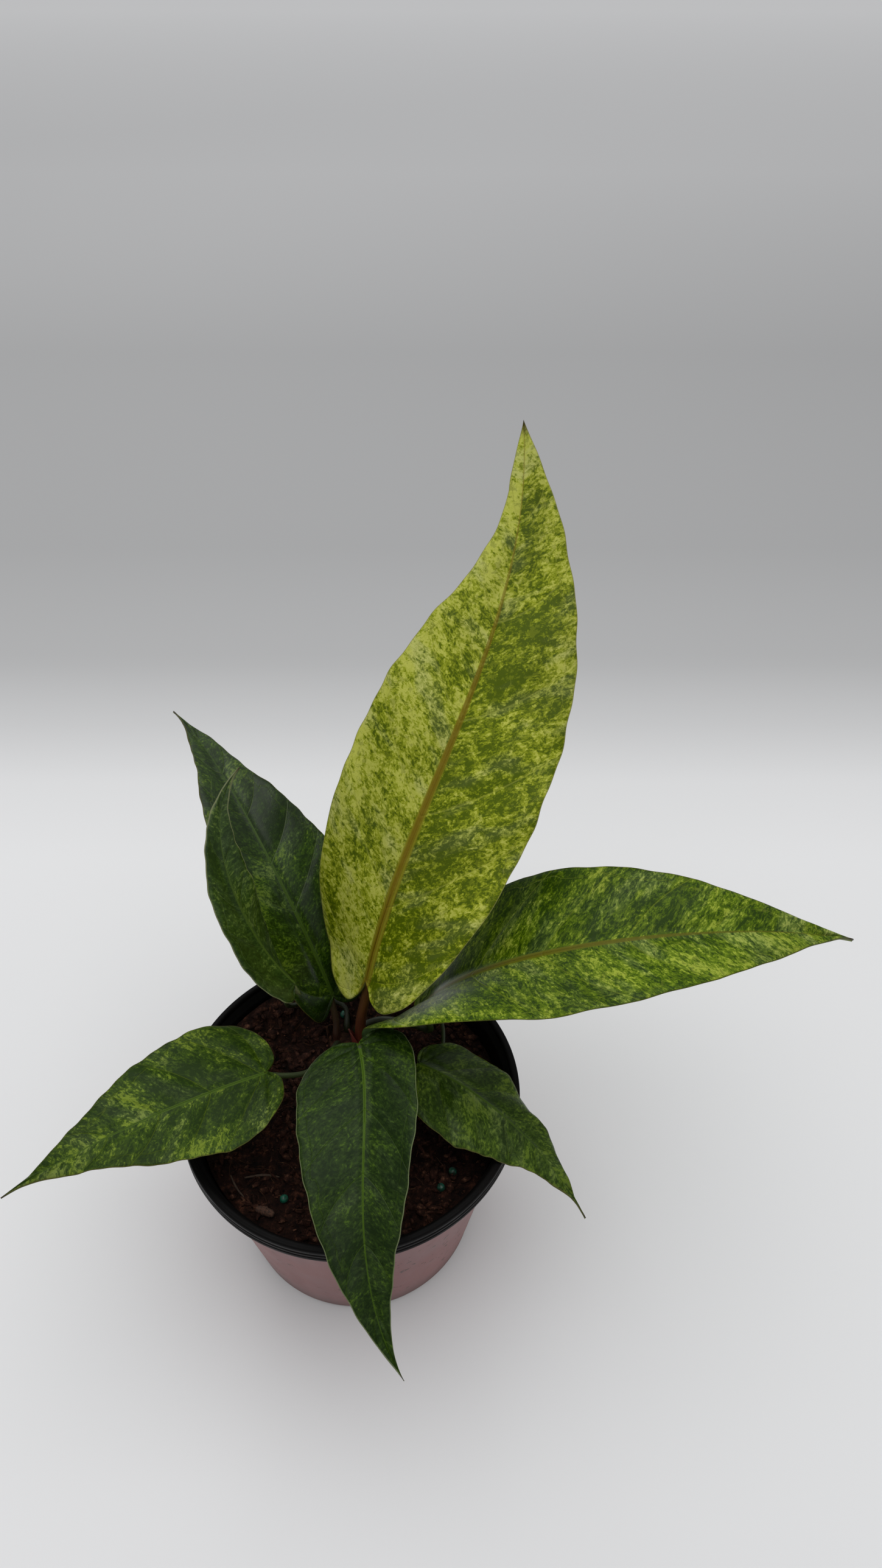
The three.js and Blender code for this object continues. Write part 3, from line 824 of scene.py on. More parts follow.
@dataclass
class Leaf:
    """A leaf blade and its stalk."""

    shape: LeafShape
    marbling: Marbling
    underside: Underside = GREEN_BACK
    stalk: StalkFinish = SHADE_DARKENED_GREEN_STALK
    blade_slot: str = "dark_leaf"
    stalk_slot: str = "green_stalk"
    rows: int = 170
    half_columns: int = 30
    thickness: float = 0.5
    rib_height: float = 0.75
    rib_half: float = 1.5
    keel_height: float = 1.1
    keel_half: float = 1.7
    margin_roll: float = 0.5
    bend: float = 1.6

    def build(self) -> None:
        """Build and dress the blade and the stalk."""
        self._build_blade()
        self._build_stalk()

    def _half(self, side: int, t: Array, s: Array) -> dict[str, Array]:
        """Measure one half blade on a grid.

        Args:
            side: 1 for the left half, -1 for the right half.
            t: Shares of the way round the outline, one for each row.
            s: Shares of the way from midrib to margin, one for each column.

        Returns:
            The measures by name, each with a value at every grid point.
        """
        outline = self.shape.outline(side, t)
        start = self.shape.vein_starts(t)
        x = start[:, None] + (outline[:, :1] - start[:, None]) * s[None]
        y = outline[:, 1:] * s[None]
        reach = np.hypot(outline[:, 0] - start, outline[:, 1])
        width = self.shape.left_width if side > 0 else self.shape.right_width
        point, normal = self.shape.place(x.ravel(), y.ravel(), side)
        phase = t[:, None] - VEIN_SWEEP * s[None] ** 2
        return {
            "x": x,
            "y": y,
            "point": point.reshape(*x.shape, 3),
            "normal": normal.reshape(*x.shape, 3),
            "phase": phase,
            "s": np.broadcast_to(s[None], x.shape),
            "side": np.full(x.shape, float(side)),
            "across": side * s[None] * width + 0 * x,
            "margin": (1 - s[None]) * reach[:, None],
        }

    def _grid(self) -> dict[str, Array]:
        """Measure the whole blade, from the right margin over the midrib to the left margin.

        Returns:
            The measures by name, each with a value at every grid point.
        """
        t = np.linspace(0, 1, self.rows)
        s = np.linspace(0, 1, self.half_columns + 1) ** 1.5
        left, right = self._half(1, t, s), self._half(-1, t, s)
        return {key: np.concatenate([right[key][:, :0:-1], left[key]], axis=1) for key in left}

    def _relief(self, grid: dict[str, Array]) -> Array:
        """Find the heights of midrib, veins, quilting and ripples.

        Args:
            grid: The blade's measures.

        Returns:
            Height of the upper face above the smooth blade.
        """
        shape = self.shape
        share = np.clip(grid["x"] / shape.length, 0, 1)
        s = grid["s"]
        rib_half = self.rib_half * (1 - share) ** 0.7 + 0.35
        rib = self.rib_height * (1 - share) ** 0.8 * np.exp(-((grid["y"] / rib_half) ** 2))
        beside = -0.3 * (1 - share) * np.exp(-(((grid["y"] - 2.4 * rib_half) / rib_half) ** 2))
        vein = np.abs(np.sin(math.pi * LATERAL_VEINS * grid["phase"]))
        envelope = smoothstep(0.03, 0.3, s) * (1 - 0.7 * smoothstep(0.7, 1.0, s))
        quilting = shape.quilting * (vein**0.6 - 0.6) * envelope
        turn = 2 * math.pi * shape.ripple_count * grid["phase"] + 1.3 * grid["side"]
        calm = smoothstep(0.1, 0.3, grid["phase"]) * (1 - smoothstep(0.85, 1.0, share))
        ripples = shape.ripple * np.sin(turn) * s**3 * calm
        rolled = -self.margin_roll * smoothstep(0.9, 1.0, s)
        return rib + beside + quilting + ripples + rolled

    def _broad_bends(self, grid: dict[str, Array]) -> Array:
        """Find slow uneven bends of the whole blade, which break up its gloss.

        Args:
            grid: The blade's measures.

        Returns:
            Height above the smooth blade.
        """
        seed = self.marbling.seed
        flat = zip(grid["x"].ravel(), (grid["y"] * grid["side"]).ravel())
        bends = [noise.noise(Vector((0.022 * x, 0.03 * y, seed))) for x, y in flat]
        height = self.bend * np.array(bends).reshape(grid["x"].shape)
        return height * smoothstep(0.05, 0.5, grid["s"])

    def _build_blade(self) -> None:
        """Build the blade as one closed shell with an upper and a lower face."""
        shape = self.shape
        grid = self._grid()
        share = np.clip(grid["x"] / shape.length, 0, 1)
        height = self._relief(grid) + self._broad_bends(grid)
        upper = grid["point"] + grid["normal"] * height[..., None]
        keel_half = self.keel_half * (1 - share) ** 0.7 + 0.3
        keel = (1 - share) ** 0.8 * np.exp(-((grid["y"] / keel_half) ** 2))
        depth = self.thickness * (1 - 0.5 * grid["s"] ** 4)
        depth += (self.keel_height + self.rib_height) * keel
        lower = upper - grid["normal"] * depth[..., None]
        rows, columns = grid["x"].shape
        top = grid_faces(rows, columns)
        bottom = grid_faces(rows, columns, first=rows * columns)[:, ::-1]
        row = np.arange(rows - 1)
        rims = []
        for column, flip in ((0, 1), (columns - 1, -1)):
            here = row * columns + column
            quad = [here, here + rows * columns, here + (rows + 1) * columns, here + columns]
            rims.append(np.stack(quad, axis=1)[:, ::flip])
        faces = np.concatenate([top, bottom, *rims])
        vertices = np.concatenate([upper.reshape(-1, 3), lower.reshape(-1, 3)])
        piece = mesh_object(f"{shape.name}_blade_visual", vertices, faces, self._maps(grid, share))
        indices = np.zeros(len(faces), dtype=np.int32)
        indices[len(top) : len(top) + len(bottom)] = 1
        piece.data.polygons.foreach_set("material_index", indices)
        weld(piece)
        materials = [
            self.marbling.material(f"{shape.name}_upper_face"),
            self.underside.material(f"{shape.name}_lower_face"),
        ]
        finish_piece(piece, materials, self.blade_slot, f"{shape.name}_blade")

    def _maps(self, grid: dict[str, Array], share: Array) -> dict[str, Array]:
        """Lay out the maps: by the veins, flat with the veins, distances and shares.

        Args:
            grid: The blade's measures.
            share: Shares of the way to the tip.

        Returns:
            The maps by name, with a pair for each vertex of both faces.
        """

        def doubled(first: Array, second: Array) -> Array:
            """One pair for each vertex of both faces."""
            pairs = np.stack([first.ravel(), second.ravel()], axis=1)
            return np.concatenate([pairs, pairs])

        slant = math.radians(VEIN_SLANT)
        along = grid["x"] * math.cos(slant) + grid["y"] * math.sin(slant)
        beside = grid["y"] * math.cos(slant) - grid["x"] * math.sin(slant)
        return {
            "veins": doubled(grid["phase"] * self.shape.length / 100, grid["across"] / 100),
            "flecks": doubled(along / 100, beside / 100 + 3 * grid["side"]),
            "distances": doubled(grid["y"] / 100, grid["margin"] / 100),
            "shares": doubled(share, grid["phase"]),
        }

    def _build_stalk(self) -> None:
        """Build the stalk, from its foot on the crown into the base of the midrib."""
        shape = self.shape
        point, direction, _, normal = (part[0] for part in shape.frames(np.array([0.0])))
        foot = np.array([*shape.stalk_foot, CROWN_TOP - 2.5])
        stand = foot + np.array([0, 0, 4.5])
        neck = point - normal * 1.2
        inside = point + direction * 5 - normal * 0.7
        path = [foot, stand, *map(np.array, shape.stalk_via), neck, inside]
        radius = shape.stalk_radius

        def thickness(along: Array) -> Array:
            """Work out the stalk's radius: wide foot, slim middle, swollen neck, thin end.

            Args:
                along: Shares of the way up the stalk.

            Returns:
                Its radius there.
            """
            foot_swell = 0.5 * np.exp(-((along / 0.07) ** 2))
            neck_swell = 0.14 * np.exp(-(((along - 0.88) / 0.06) ** 2))
            narrowing = 1 - 0.12 * smoothstep(0.1, 0.7, along) - 0.62 * smoothstep(0.9, 1.0, along)
            return radius * (narrowing + foot_swell + neck_swell)

        piece = tube(f"{shape.name}_stalk_visual", path, thickness, sides=20, rings=70, groove=0.1)
        material = self.stalk.material(f"{shape.name}_stalk_skin")
        finish_piece(piece, [material], self.stalk_slot, f"{shape.name}_stalk")


def smooth_path(points: Sequence[Array], count: int) -> Array:
    """Draw a smooth curve through points.

    Args:
        points: Points to pass through.
        count: Number of points wanted.

    Returns:
        Evenly spaced points of the curve.
    """
    places = np.array(points, dtype=float)
    padded = np.vstack([2 * places[0] - places[1], places, 2 * places[-1] - places[-2]])
    samples = []
    for a, b, c, d in zip(padded, padded[1:], padded[2:], padded[3:]):
        s = np.linspace(0, 1, 24, endpoint=False)[:, None]
        cubic = (2 * a - 5 * b + 4 * c - d) * s**2 + (3 * b - a - 3 * c + d) * s**3
        samples.append(0.5 * (2 * b + (c - a) * s + cubic))
    samples.append(places[-1:])
    fine = np.vstack(samples)
    run = np.concatenate([[0], np.cumsum(np.linalg.norm(np.diff(fine, axis=0), axis=1))])
    even = np.linspace(0, run[-1], count)
    return np.stack([np.interp(even, run, fine[:, k]) for k in range(3)], axis=1)


def tube_arrays(
    path: Sequence[Array],
    radius_at: Callable[[Array], Array],
    sides: int,
    rings: int,
    groove: float = 0.0,
) -> tuple[Array, Faces, Array]:
    """Work out a closed tube along a smooth path.

    Args:
        path: Points the tube's middle passes through, in millimetres.
        radius_at: Radius at each share of the length.
        sides: Vertices round the tube.
        rings: Rings along the tube.
        groove: Depth of one lengthwise groove, as a share of the radius.

    Returns:
        The vertices, the faces and a pair (round, along) for each vertex.
    """
    centres = smooth_path(path, rings)
    tangents = np.gradient(centres, axis=0)
    tangents /= np.linalg.norm(tangents, axis=1, keepdims=True)
    first = np.cross(tangents[0], [0.3, 0.9, 0.1])
    normals = [first / np.linalg.norm(first)]
    for tangent in tangents[1:]:
        carried = normals[-1] - tangent * np.dot(tangent, normals[-1])
        normals.append(carried / np.linalg.norm(carried))
    normals = np.array(normals)
    binormals = np.cross(tangents, normals)
    turn = full_turn(sides)
    along = np.linspace(0, 1, rings)
    radius = radius_at(along)[:, None] * (1 - groove * np.exp(-((turn - math.pi) ** 2) / 0.3))
    ring = normals[:, None] * np.cos(turn)[None, :, None]
    ring = ring + binormals[:, None] * np.sin(turn)[None, :, None]
    vertices = (centres[:, None] + ring * radius[..., None]).reshape(-1, 3)
    vertices = np.vstack([vertices, centres[0], centres[-1]])
    faces = [quad[::-1] for quad in grid_faces(rings, sides, closed=True).tolist()]
    last = (rings - 1) * sides
    for side in range(sides):
        after = (side + 1) % sides
        faces.append([len(vertices) - 2, after, side])
        faces.append([len(vertices) - 1, last + side, last + after])
    mirrored_turn = np.abs(turn / math.pi - 1)
    pairs = np.stack(np.broadcast_arrays(mirrored_turn[None], along[:, None]), axis=-1)
    pairs = np.vstack([pairs.reshape(-1, 2), [[0.5, 0.0], [0.5, 1.0]]])
    return vertices, faces, pairs


def tube(
    name: str,
    path: Sequence[Array],
    radius_at: Callable[[Array], Array],
    sides: int,
    rings: int,
    groove: float = 0.0,
) -> bpy.types.Object:
    """Make a closed tube.

    Args:
        name: The piece's name.
        path: Points the tube's middle passes through.
        radius_at: Radius at each share of the length.
        sides: Vertices round the tube.
        rings: Rings along the tube.
        groove: Depth of one lengthwise groove, as a share of the radius.

    Returns:
        The object, with the map "stalk" round it and along it.
    """
    vertices, faces, pairs = tube_arrays(path, radius_at, sides, rings, groove)
    return mesh_object(name, vertices, faces, {"stalk": pairs})


def joined(tubes: Sequence[tuple[Array, Faces, Array]]) -> tuple[Array, Faces]:
    """Join the arrays of several tubes.

    Args:
        tubes: What tube_arrays gives for each.

    Returns:
        The vertices and the faces of all of them.
    """
    faces = []
    start = 0
    for points, tube_faces, _ in tubes:
        faces += [[start + number for number in face] for face in tube_faces]
        start += len(points)
    return np.vstack([points for points, _, _ in tubes]), faces


# ------------------------------------------------------------------ pot


@dataclass
class NurseryPot:
    """Thin round pot: rose outside, black inside and over the rolled rim."""

    height: float = 100.0
    rim_radius: float = 75.0
    base_radius: float = 54.5
    wall: float = 1.2
    roll_width: float = 3.4
    skirt_height: float = 8.0
    skirt_thickness: float = 1.2
    grooves: tuple[float, ...] = (3.1, 5.3)
    groove_depth: float = 0.3
    ledge_depth: float = 5.0
    drain_holes: int = 8
    drain_radius: float = 4.0
    drain_circle: float = 43.0
    shell_top: float = 93.6
    segments: int = 192

    def build(self) -> None:
        """Build the rose shell and the black lining with its rim."""
        self._build_shell()
        self._build_lining()

    def wall_radius(self, height: float) -> float:
        """Outside radius of the wall at a height."""
        top = self.rim_radius - self.roll_width
        return self.base_radius + (top - self.base_radius) * height / self.height

    def _revolve(self, name: str, profile: Sequence[Spot]) -> bpy.types.Object:
        """Turn a profile about the pot's axis into a closed shell.

        Args:
            name: The piece's name.
            profile: Radius and height of each point, inside first.

        Returns:
            The shell, with the drain holes cut through its floor.
        """
        points = np.array(profile)
        turn = full_turn(self.segments)
        ring = np.stack([np.cos(turn), np.sin(turn)], axis=1)
        flat = points[:, 0][:, None, None] * ring[None]
        height = np.broadcast_to(points[:, 1][:, None, None], (*flat.shape[:2], 1))
        vertices = np.concatenate([flat, height], axis=2).reshape(-1, 3)
        faces = grid_faces(len(points), self.segments, closed=True)
        piece = mesh_object(name, vertices, faces)
        weld(piece)
        self._cut_drain_holes(piece)
        return piece

    def _build_shell(self) -> None:
        """Outside of the wall with the foot, and the underside with its drain holes."""
        top = self.shell_top
        foot = self.base_radius
        profile = [(0.0, 0.35), (foot - 20, 0.35), (foot - 5.2, 0.3), (foot - 4.4, 0.0)]
        profile += [(foot - 1.6, 0.0), (foot - 0.7, 0.2), (foot - 0.15, 0.8), (foot + 0.05, 1.6)]
        profile += [(self.wall_radius(z) + 0.05, z) for z in (2.4, 3.4)]
        profile += [(self.wall_radius(z), z) for z in (3.8, 6, 20, 40, 60, 80, 90, top)]
        profile += [(self.wall_radius(top) - 0.5, top)]
        profile += [(self.wall_radius(z) - 0.55, z) for z in (90, 60, 30, 3)]
        profile += [(foot - 1.2, 0.9), (0.0, 0.9)]
        piece = self._revolve("pot_rose_shell", profile[::-1])
        finish_piece(piece, [RosePlastic().material("rose_shell_plastic")], "rose_plastic", "pot")

    def _build_lining(self) -> None:
        """Inside of the wall, the shelf inside the mouth, the rolled rim and its skirt."""
        height, rim = self.height, self.rim_radius
        inner = rim - self.roll_width
        skirt_bottom = height - self.skirt_height
        skirt_inside = rim - self.skirt_thickness
        under = height - 2.4
        profile = [(0.0, self.wall), (self.wall_radius(1.2) - self.wall, self.wall)]
        profile += [(self.wall_radius(z) - self.wall, z) for z in (30, 60, 80, 90, 93.6)]
        ledge = height - self.ledge_depth
        profile += [(self.wall_radius(ledge) - self.wall + 0.3, ledge - 0.35), (inner - 0.5, ledge)]
        profile += [(inner - 0.05, ledge + 0.5), (inner, ledge + 1.2), (inner, height - 1.1)]
        roll = [(0.0, -1.1), (0.12, -0.55), (0.5, -0.15), (1.1, 0.0), (1.9, 0.0), (2.15, -0.22)]
        roll += [(2.35, -0.22), (2.75, -0.3), (3.1, -0.55), (3.32, -0.95), (3.4, -1.5)]
        profile += [(inner + out, height + up) for out, up in roll]
        for groove in self.grooves:
            steps = ((0.0, 0.4), (self.groove_depth, 0.2), (self.groove_depth, -0.2), (0.0, -0.4))
            profile += [(rim - depth, height - groove + up) for depth, up in steps]
        profile += [(rim, skirt_bottom + 1.6), (rim, skirt_bottom + 0.5)]
        profile += [(rim - 0.25, skirt_bottom + 0.05), (rim - 0.7, skirt_bottom)]
        profile += [(skirt_inside, skirt_bottom + 0.3), (skirt_inside, under)]
        profile += [(self.wall_radius(z) - 0.02, z) for z in (under, self.shell_top + 0.1)]
        profile += [(self.wall_radius(self.shell_top) - 0.6, self.shell_top - 0.1)]
        profile += [(self.wall_radius(z) - 0.6, z) for z in (60, 30, 3.2)]
        profile += [(self.base_radius - 1.3, 0.95), (0.0, 0.95)]
        piece = self._revolve("pot_black_lining", profile)
        plastic = BlackPlastic().material("black_lining_plastic")
        finish_piece(piece, [plastic], "black_plastic", "pot")

    def _cut_drain_holes(self, piece: bpy.types.Object) -> None:
        """Cut the drain holes through the floor of a shell.

        Args:
            piece: The shell.
        """
        cutters = []
        for hole in range(self.drain_holes):
            turn = 2 * math.pi * hole / self.drain_holes
            middle = np.array([math.cos(turn), math.sin(turn), 0]) * self.drain_circle
            ends = [middle + np.array([0, 0, z]) for z in (-3.0, 0.0, 3.0)]
            cutters.append(tube_arrays(ends, lambda along: self.drain_radius + 0 * along, 24, 3))
        cutter = mesh_object("drain_cutter", *joined(cutters), smooth=False)
        modifier = piece.modifiers.new("drain_holes", "BOOLEAN")
        modifier.operation = "DIFFERENCE"
        modifier.solver = "EXACT"
        modifier.object = cutter
        graph = bpy.context.evaluated_depsgraph_get()
        cut = bpy.data.meshes.new_from_object(piece.evaluated_get(graph))
        piece.modifiers.clear()
        cut.name = piece.name
        piece.data = cut
        bpy.data.objects.remove(cutter)


@dataclass(frozen=True)
class RosePlastic(Finish):
    """Dusty rose plastic with a soft sheen, faint upright streaks and specks of dirt."""

    body: Colour = srgb(139, 93, 91)
    deep: Colour = srgb(118, 73, 72)
    dirt: Colour = srgb(58, 42, 34)

    def paint(self, graph: Graph) -> None:
        """Paint by the place on the piece.

        Args:
            graph: The graph to paint in.
        """
        place = graph.object_place()
        streaks = graph.noise(graph.stretch(place, (60.0, 60.0, 4.0)), 1.0, 3, 0.5)
        clouds = graph.noise(place, 28.0, 3, 0.55)
        tone = graph.weighted((streaks, 0.5), (clouds, 0.5))
        body = graph.ramp(tone, [(0.38, self.deep), (0.62, self.body)])
        specks = graph.noise(place, 300.0, 2, 0.5)
        patches = graph.noise(place, 40.0, 2, 0.5)
        where = graph.times(graph.step(specks, 0.64, 0.69), graph.step(patches, 0.42, 0.6))
        _, _, height = graph.split(place)
        # Darker over the lowest 16 mm, towards the foot.
        foot = graph.step(height, 0.0012, 0.016, 0.45, 0.0)
        dusted = graph.mix(graph.times(where, 0.8), body, self.dirt)
        graph.set(
            Base_Color=graph.mix(foot, dusted, self.dirt),
            Roughness=graph.step(clouds, 0.3, 0.7, 0.36, 0.5),
        )
        graph.bump(graph.weighted((streaks, 0.6), (where, 1.0)), 0.12)


@dataclass(frozen=True)
class BlackPlastic(Finish):
    """Black plastic, dulled by patches and dots of dust."""

    body: Colour = srgb(9, 8, 8)
    dust: Colour = srgb(24, 19, 17)

    def paint(self, graph: Graph) -> None:
        """Paint by the place on the piece.

        Args:
            graph: The graph to paint in.
        """
        place = graph.object_place()
        film = graph.noise(place, 60.0, 5, 0.65)
        grains = graph.noise(place, 600.0, 2, 0.5)
        colour = graph.mix(graph.step(film, 0.45, 0.75, 0.0, 0.3), self.body, self.dust)
        dotted = graph.mix(graph.step(grains, 0.68, 0.74, 0.0, 0.5), colour, self.dust)
        gloss = graph.step(film, 0.3, 0.7, 0.38, 0.56)
        graph.set(Base_Color=dotted, Roughness=gloss, Specular_IOR_Level=0.13, IOR=1.32)
        graph.bump(graph.noise(place, 900.0, 2, 0.5), 0.05)


# ------------------------------------------------------------------ potting mix


@dataclass(frozen=True)
class MixFinish(Finish):
    """Peat and coir: near-black to reddish brown, with a few pale bits."""

    dark: Colour = srgb(8, 3, 2)
    brown: Colour = srgb(36, 19, 13)
    tan: Colour = srgb(84, 50, 36)
    grain: float = 260.0

    def paint(self, graph: Graph) -> None:
        """Paint by the place on the piece.

        Args:
            graph: The graph to paint in.
        """
        place = graph.object_place()
        lumps = graph.noise(place, self.grain, 4, 0.6)
        fine = graph.noise(place, 1400.0, 3, 0.7)
        tone = graph.weighted((lumps, 0.7), (fine, 0.3))
        colour = graph.ramp(tone, [(0.38, self.dark), (0.55, self.brown), (0.68, self.tan)])
        graph.set(Base_Color=colour, Roughness=0.9, Specular_IOR_Level=0.12)
        graph.bump(fine, 0.5)


CRUMB_FINISH = MixFinish(srgb(14, 6, 4), srgb(54, 31, 23), srgb(108, 74, 56), 330.0)
STRAND_FINISH = MixFinish(srgb(40, 26, 18), srgb(74, 50, 34), srgb(126, 94, 66))


@dataclass
class PottingMix:
    """The surface of the mix, the crumbs on it and loose coir strands."""

    level: float = 86.0
    radius: float = 67.4
    lump_height: float = 1.1
    bank_height: float = 8.0
    bank_side: Spot = (-0.7, 0.71)
    bank_start: float = 42.0
    bank_run: float = 18.0
    crumbs: int = 2300
    crumb_shapes: int = 9
    crumb_least: float = 0.5
    crumb_spread: float = 2.1
    strands: int = 120
    strand_length: tuple[float, float] = (3, 10)
    strand_radius: tuple[float, float] = (0.09, 0.2)
    rings: int = 90
    segments: int = 220
    seed: int = 7

    def height(self, x: float, y: float) -> float:
        """Find the height of the surface, with its bank and its broad and small lumps.

        Args:
            x: Place to the right of the pot's middle.
            y: Place behind the pot's middle.

        Returns:
            Height above the pot's underside.
        """
        broad = math.sin(0.11 * x + 0.6) * math.cos(0.09 * y - 0.4)
        small = noise.noise(Vector((0.16 * x, 0.16 * y, 3.0)))
        grain = noise.noise(Vector((0.55 * x, 0.55 * y, 9.0)))
        distance = math.hypot(x, y)
        settled = min(1.0, 4 * (1 - distance / self.radius)) if distance < self.radius else 0.0
        towards = 0.8 * (self.bank_side[1] * y + self.bank_side[0] * x) + 0.2 * distance
        bank = self.bank_height * min(1.0, max(0.0, (towards - self.bank_start) / self.bank_run))
        lumps = settled * (0.6 * self.lump_height * broad + 1.4 * small)
        return self.level + bank + lumps + 0.75 * grain

    def build(self) -> None:
        """Build the surface, the crumbs and the strands."""
        self._build_surface()
        self._build_crumbs()
        self._build_strands()

    def _build_surface(self) -> None:
        """A lumpy disc with a skirt that follows the pot's wall down to its floor."""
        turn = full_turn(self.segments)
        rows = []
        top = [(radius, None) for radius in self.radius * np.linspace(0, 1, self.rings) ** 0.7]
        for radius, z in [*top, (self.radius - 2, 76.0), (58.0, 30.0), (53.0, 1.6), (0.0, 1.6)]:
            x, y = radius * np.cos(turn), radius * np.sin(turn)
            heights = [self.height(a, b) if z is None else z for a, b in zip(x, y)]
            rows.append(np.stack([x, y, heights], axis=1))
        vertices = np.concatenate(rows)
        faces = grid_faces(len(rows), self.segments, closed=True)
        piece = mesh_object("potting_mix_surface", vertices, faces)
        weld(piece)
        finish_piece(piece, [MixFinish().material("peat_and_coir")], "potting_mix", "soil")

    def _build_crumbs(self) -> None:
        """Scatter irregular crumbs over the surface."""
        draw = random.Random(self.seed)
        shapes = [self._crumb_shape(draw) for _ in range(self.crumb_shapes)]
        points, faces = [], []
        count = 0
        while count < self.crumbs:
            x, y, reach = self._spot(draw, self.radius - 1.2)
            size = self.crumb_least + self.crumb_spread * draw.random() ** 2.6
            if reach + size > self.radius + 0.4:
                continue
            body, triangles = shapes[count % len(shapes)]
            spin = Vector((draw.gauss(0, 1), draw.gauss(0, 1), draw.gauss(0, 1))).normalized()
            turned = self._turn(body, np.array(spin), draw.uniform(0, 6.28)) * size
            turned = turned * np.array([1.0, 1.0, 0.8])
            start = sum(len(part) for part in points)
            points.append(turned + np.array([x, y, self.height(x, y) + 0.28 * size]))
            faces.append(triangles + start)
            count += 1
        piece = mesh_object("potting_mix_crumbs", np.vstack(points), np.vstack(faces))
        finish_piece(piece, [CRUMB_FINISH.material("crumbs_of_coir")], "potting_mix", "soil")

    @staticmethod
    def _spot(draw: random.Random, radius: float) -> tuple[float, float, float]:
        """Draw a spot on the surface.

        Args:
            draw: Where the random numbers come from.
            radius: How far from the middle it may lie.

        Returns:
            The spot and its distance from the middle.
        """
        reach = radius * math.sqrt(draw.random())
        turn = draw.uniform(0, 2 * math.pi)
        return reach * math.cos(turn), reach * math.sin(turn), reach

    @staticmethod
    def _turn(points: Array, axis: Array, angle: float) -> Array:
        """Turn points about an axis.

        Args:
            points: The points, one row each.
            axis: Unit vector along the axis.
            angle: How far to turn, in radians.

        Returns:
            The turned points.
        """
        cross = np.cross(axis[None], points)
        along = points @ axis
        turned = points * math.cos(angle) + cross * math.sin(angle)
        return turned + axis[None] * along[:, None] * (1 - math.cos(angle))

    @staticmethod
    def _crumb_shape(draw: random.Random) -> tuple[Array, Array]:
        """Work out one irregular crumb about 2 units across.

        Args:
            draw: Where the random numbers come from.

        Returns:
            Its vertices and its triangles.
        """
        points, triangles = icosphere(2)
        shift = draw.uniform(0, 50)
        lumps = noise_at(points, 1.3, (shift, 0, 0))
        pits = noise_at(points, 3.1, (0, shift, 0))
        scale = 1 + 0.65 * lumps + 0.5 * pits
        squash = [draw.uniform(0.8, 1.9), draw.uniform(0.5, 1.0), draw.uniform(0.3, 0.7)]
        return points * scale[:, None] * np.array(squash), triangles

    def _build_strands(self) -> None:
        """Lay fine coir strands on the surface."""
        draw = random.Random(self.seed + 1)
        strands = []
        for _ in range(self.strands):
            x, y, _ = self._spot(draw, self.radius - 9)
            heading = draw.uniform(0, 2 * math.pi)
            length = draw.uniform(*self.strand_length)
            path = []
            for _ in range(4):
                heading += draw.uniform(-0.5, 0.5)
                lift = 0.9 + draw.uniform(0, 0.7)
                path.append(np.array([x, y, self.height(x, y) + lift]))
                x += length / 3 * math.cos(heading)
                y += length / 3 * math.sin(heading)
            width = draw.uniform(*self.strand_radius)
            strands.append(tube_arrays(path, lambda a, w=width: w * (1 - 0.6 * a), 5, 9))
        piece = mesh_object("coir_strands", *joined(strands))
        finish_piece(piece, [STRAND_FINISH.material("coir_fibre")], "potting_mix", "soil")


# ------------------------------------------------------------------ crown


@dataclass(frozen=True)
class CrownFinish(Finish):
    """Brown corky tissue of the rootstock's top."""

    def paint(self, graph: Graph) -> None:
        """Paint by the place on the piece.

        Args:
            graph: The graph to paint in.
        """
        place = graph.object_place()
        rings = graph.noise(graph.stretch(place, (1.0, 1.0, 3.0)), 220.0, 5, 0.65)
        stops = [(0.35, srgb(20, 11, 7)), (0.55, srgb(44, 27, 18)), (0.7, srgb(74, 50, 34))]
        graph.set(Base_Color=graph.ramp(rings, stops), Roughness=0.85, Specular_IOR_Level=0.1)
        graph.bump(rings, 0.6)


@dataclass(frozen=True)
class SheathFinish(Finish):
    """Pink-red papery sheath, dry at its point."""

    def paint(self, graph: Graph) -> None:
        """Paint by the map, which runs across the sheath and then up it.

        Args:
            graph: The graph to paint in.
        """
        place = graph.map("stalk")
        _, along, _ = graph.split(place)
        stops = [(0.0, srgb(104, 42, 32)), (0.5, srgb(120, 48, 40)), (1.0, srgb(84, 40, 28))]
        body = graph.ramp(along, stops)
        lines = graph.noise(graph.stretch(place, (26.0, 2.0, 1.0)), 1.5, 4, 0.6)
        graph.set(
            Base_Color=graph.mix(graph.step(lines, 0.45, 0.65, 0.0, 0.5), body, srgb(138, 70, 56)),
            Roughness=0.55,
        )
        graph.bump(lines, 0.15)


@dataclass(frozen=True)
class Wrap:
    """A pointed sheath wrapped part of the way round a stalk.

    foot is the stalk's middle, radius the inside of the wrap and height that of its point above
    the crown. middle is the direction its back faces and reach is half its wrap at the foot, in
    degrees. lean is how far its point stands out, and power how suddenly it narrows to it.
    """

    foot: Spot
    radius: float
    height: float
    middle: float
    reach: float
    lean: float
    thickness: float
    power: float


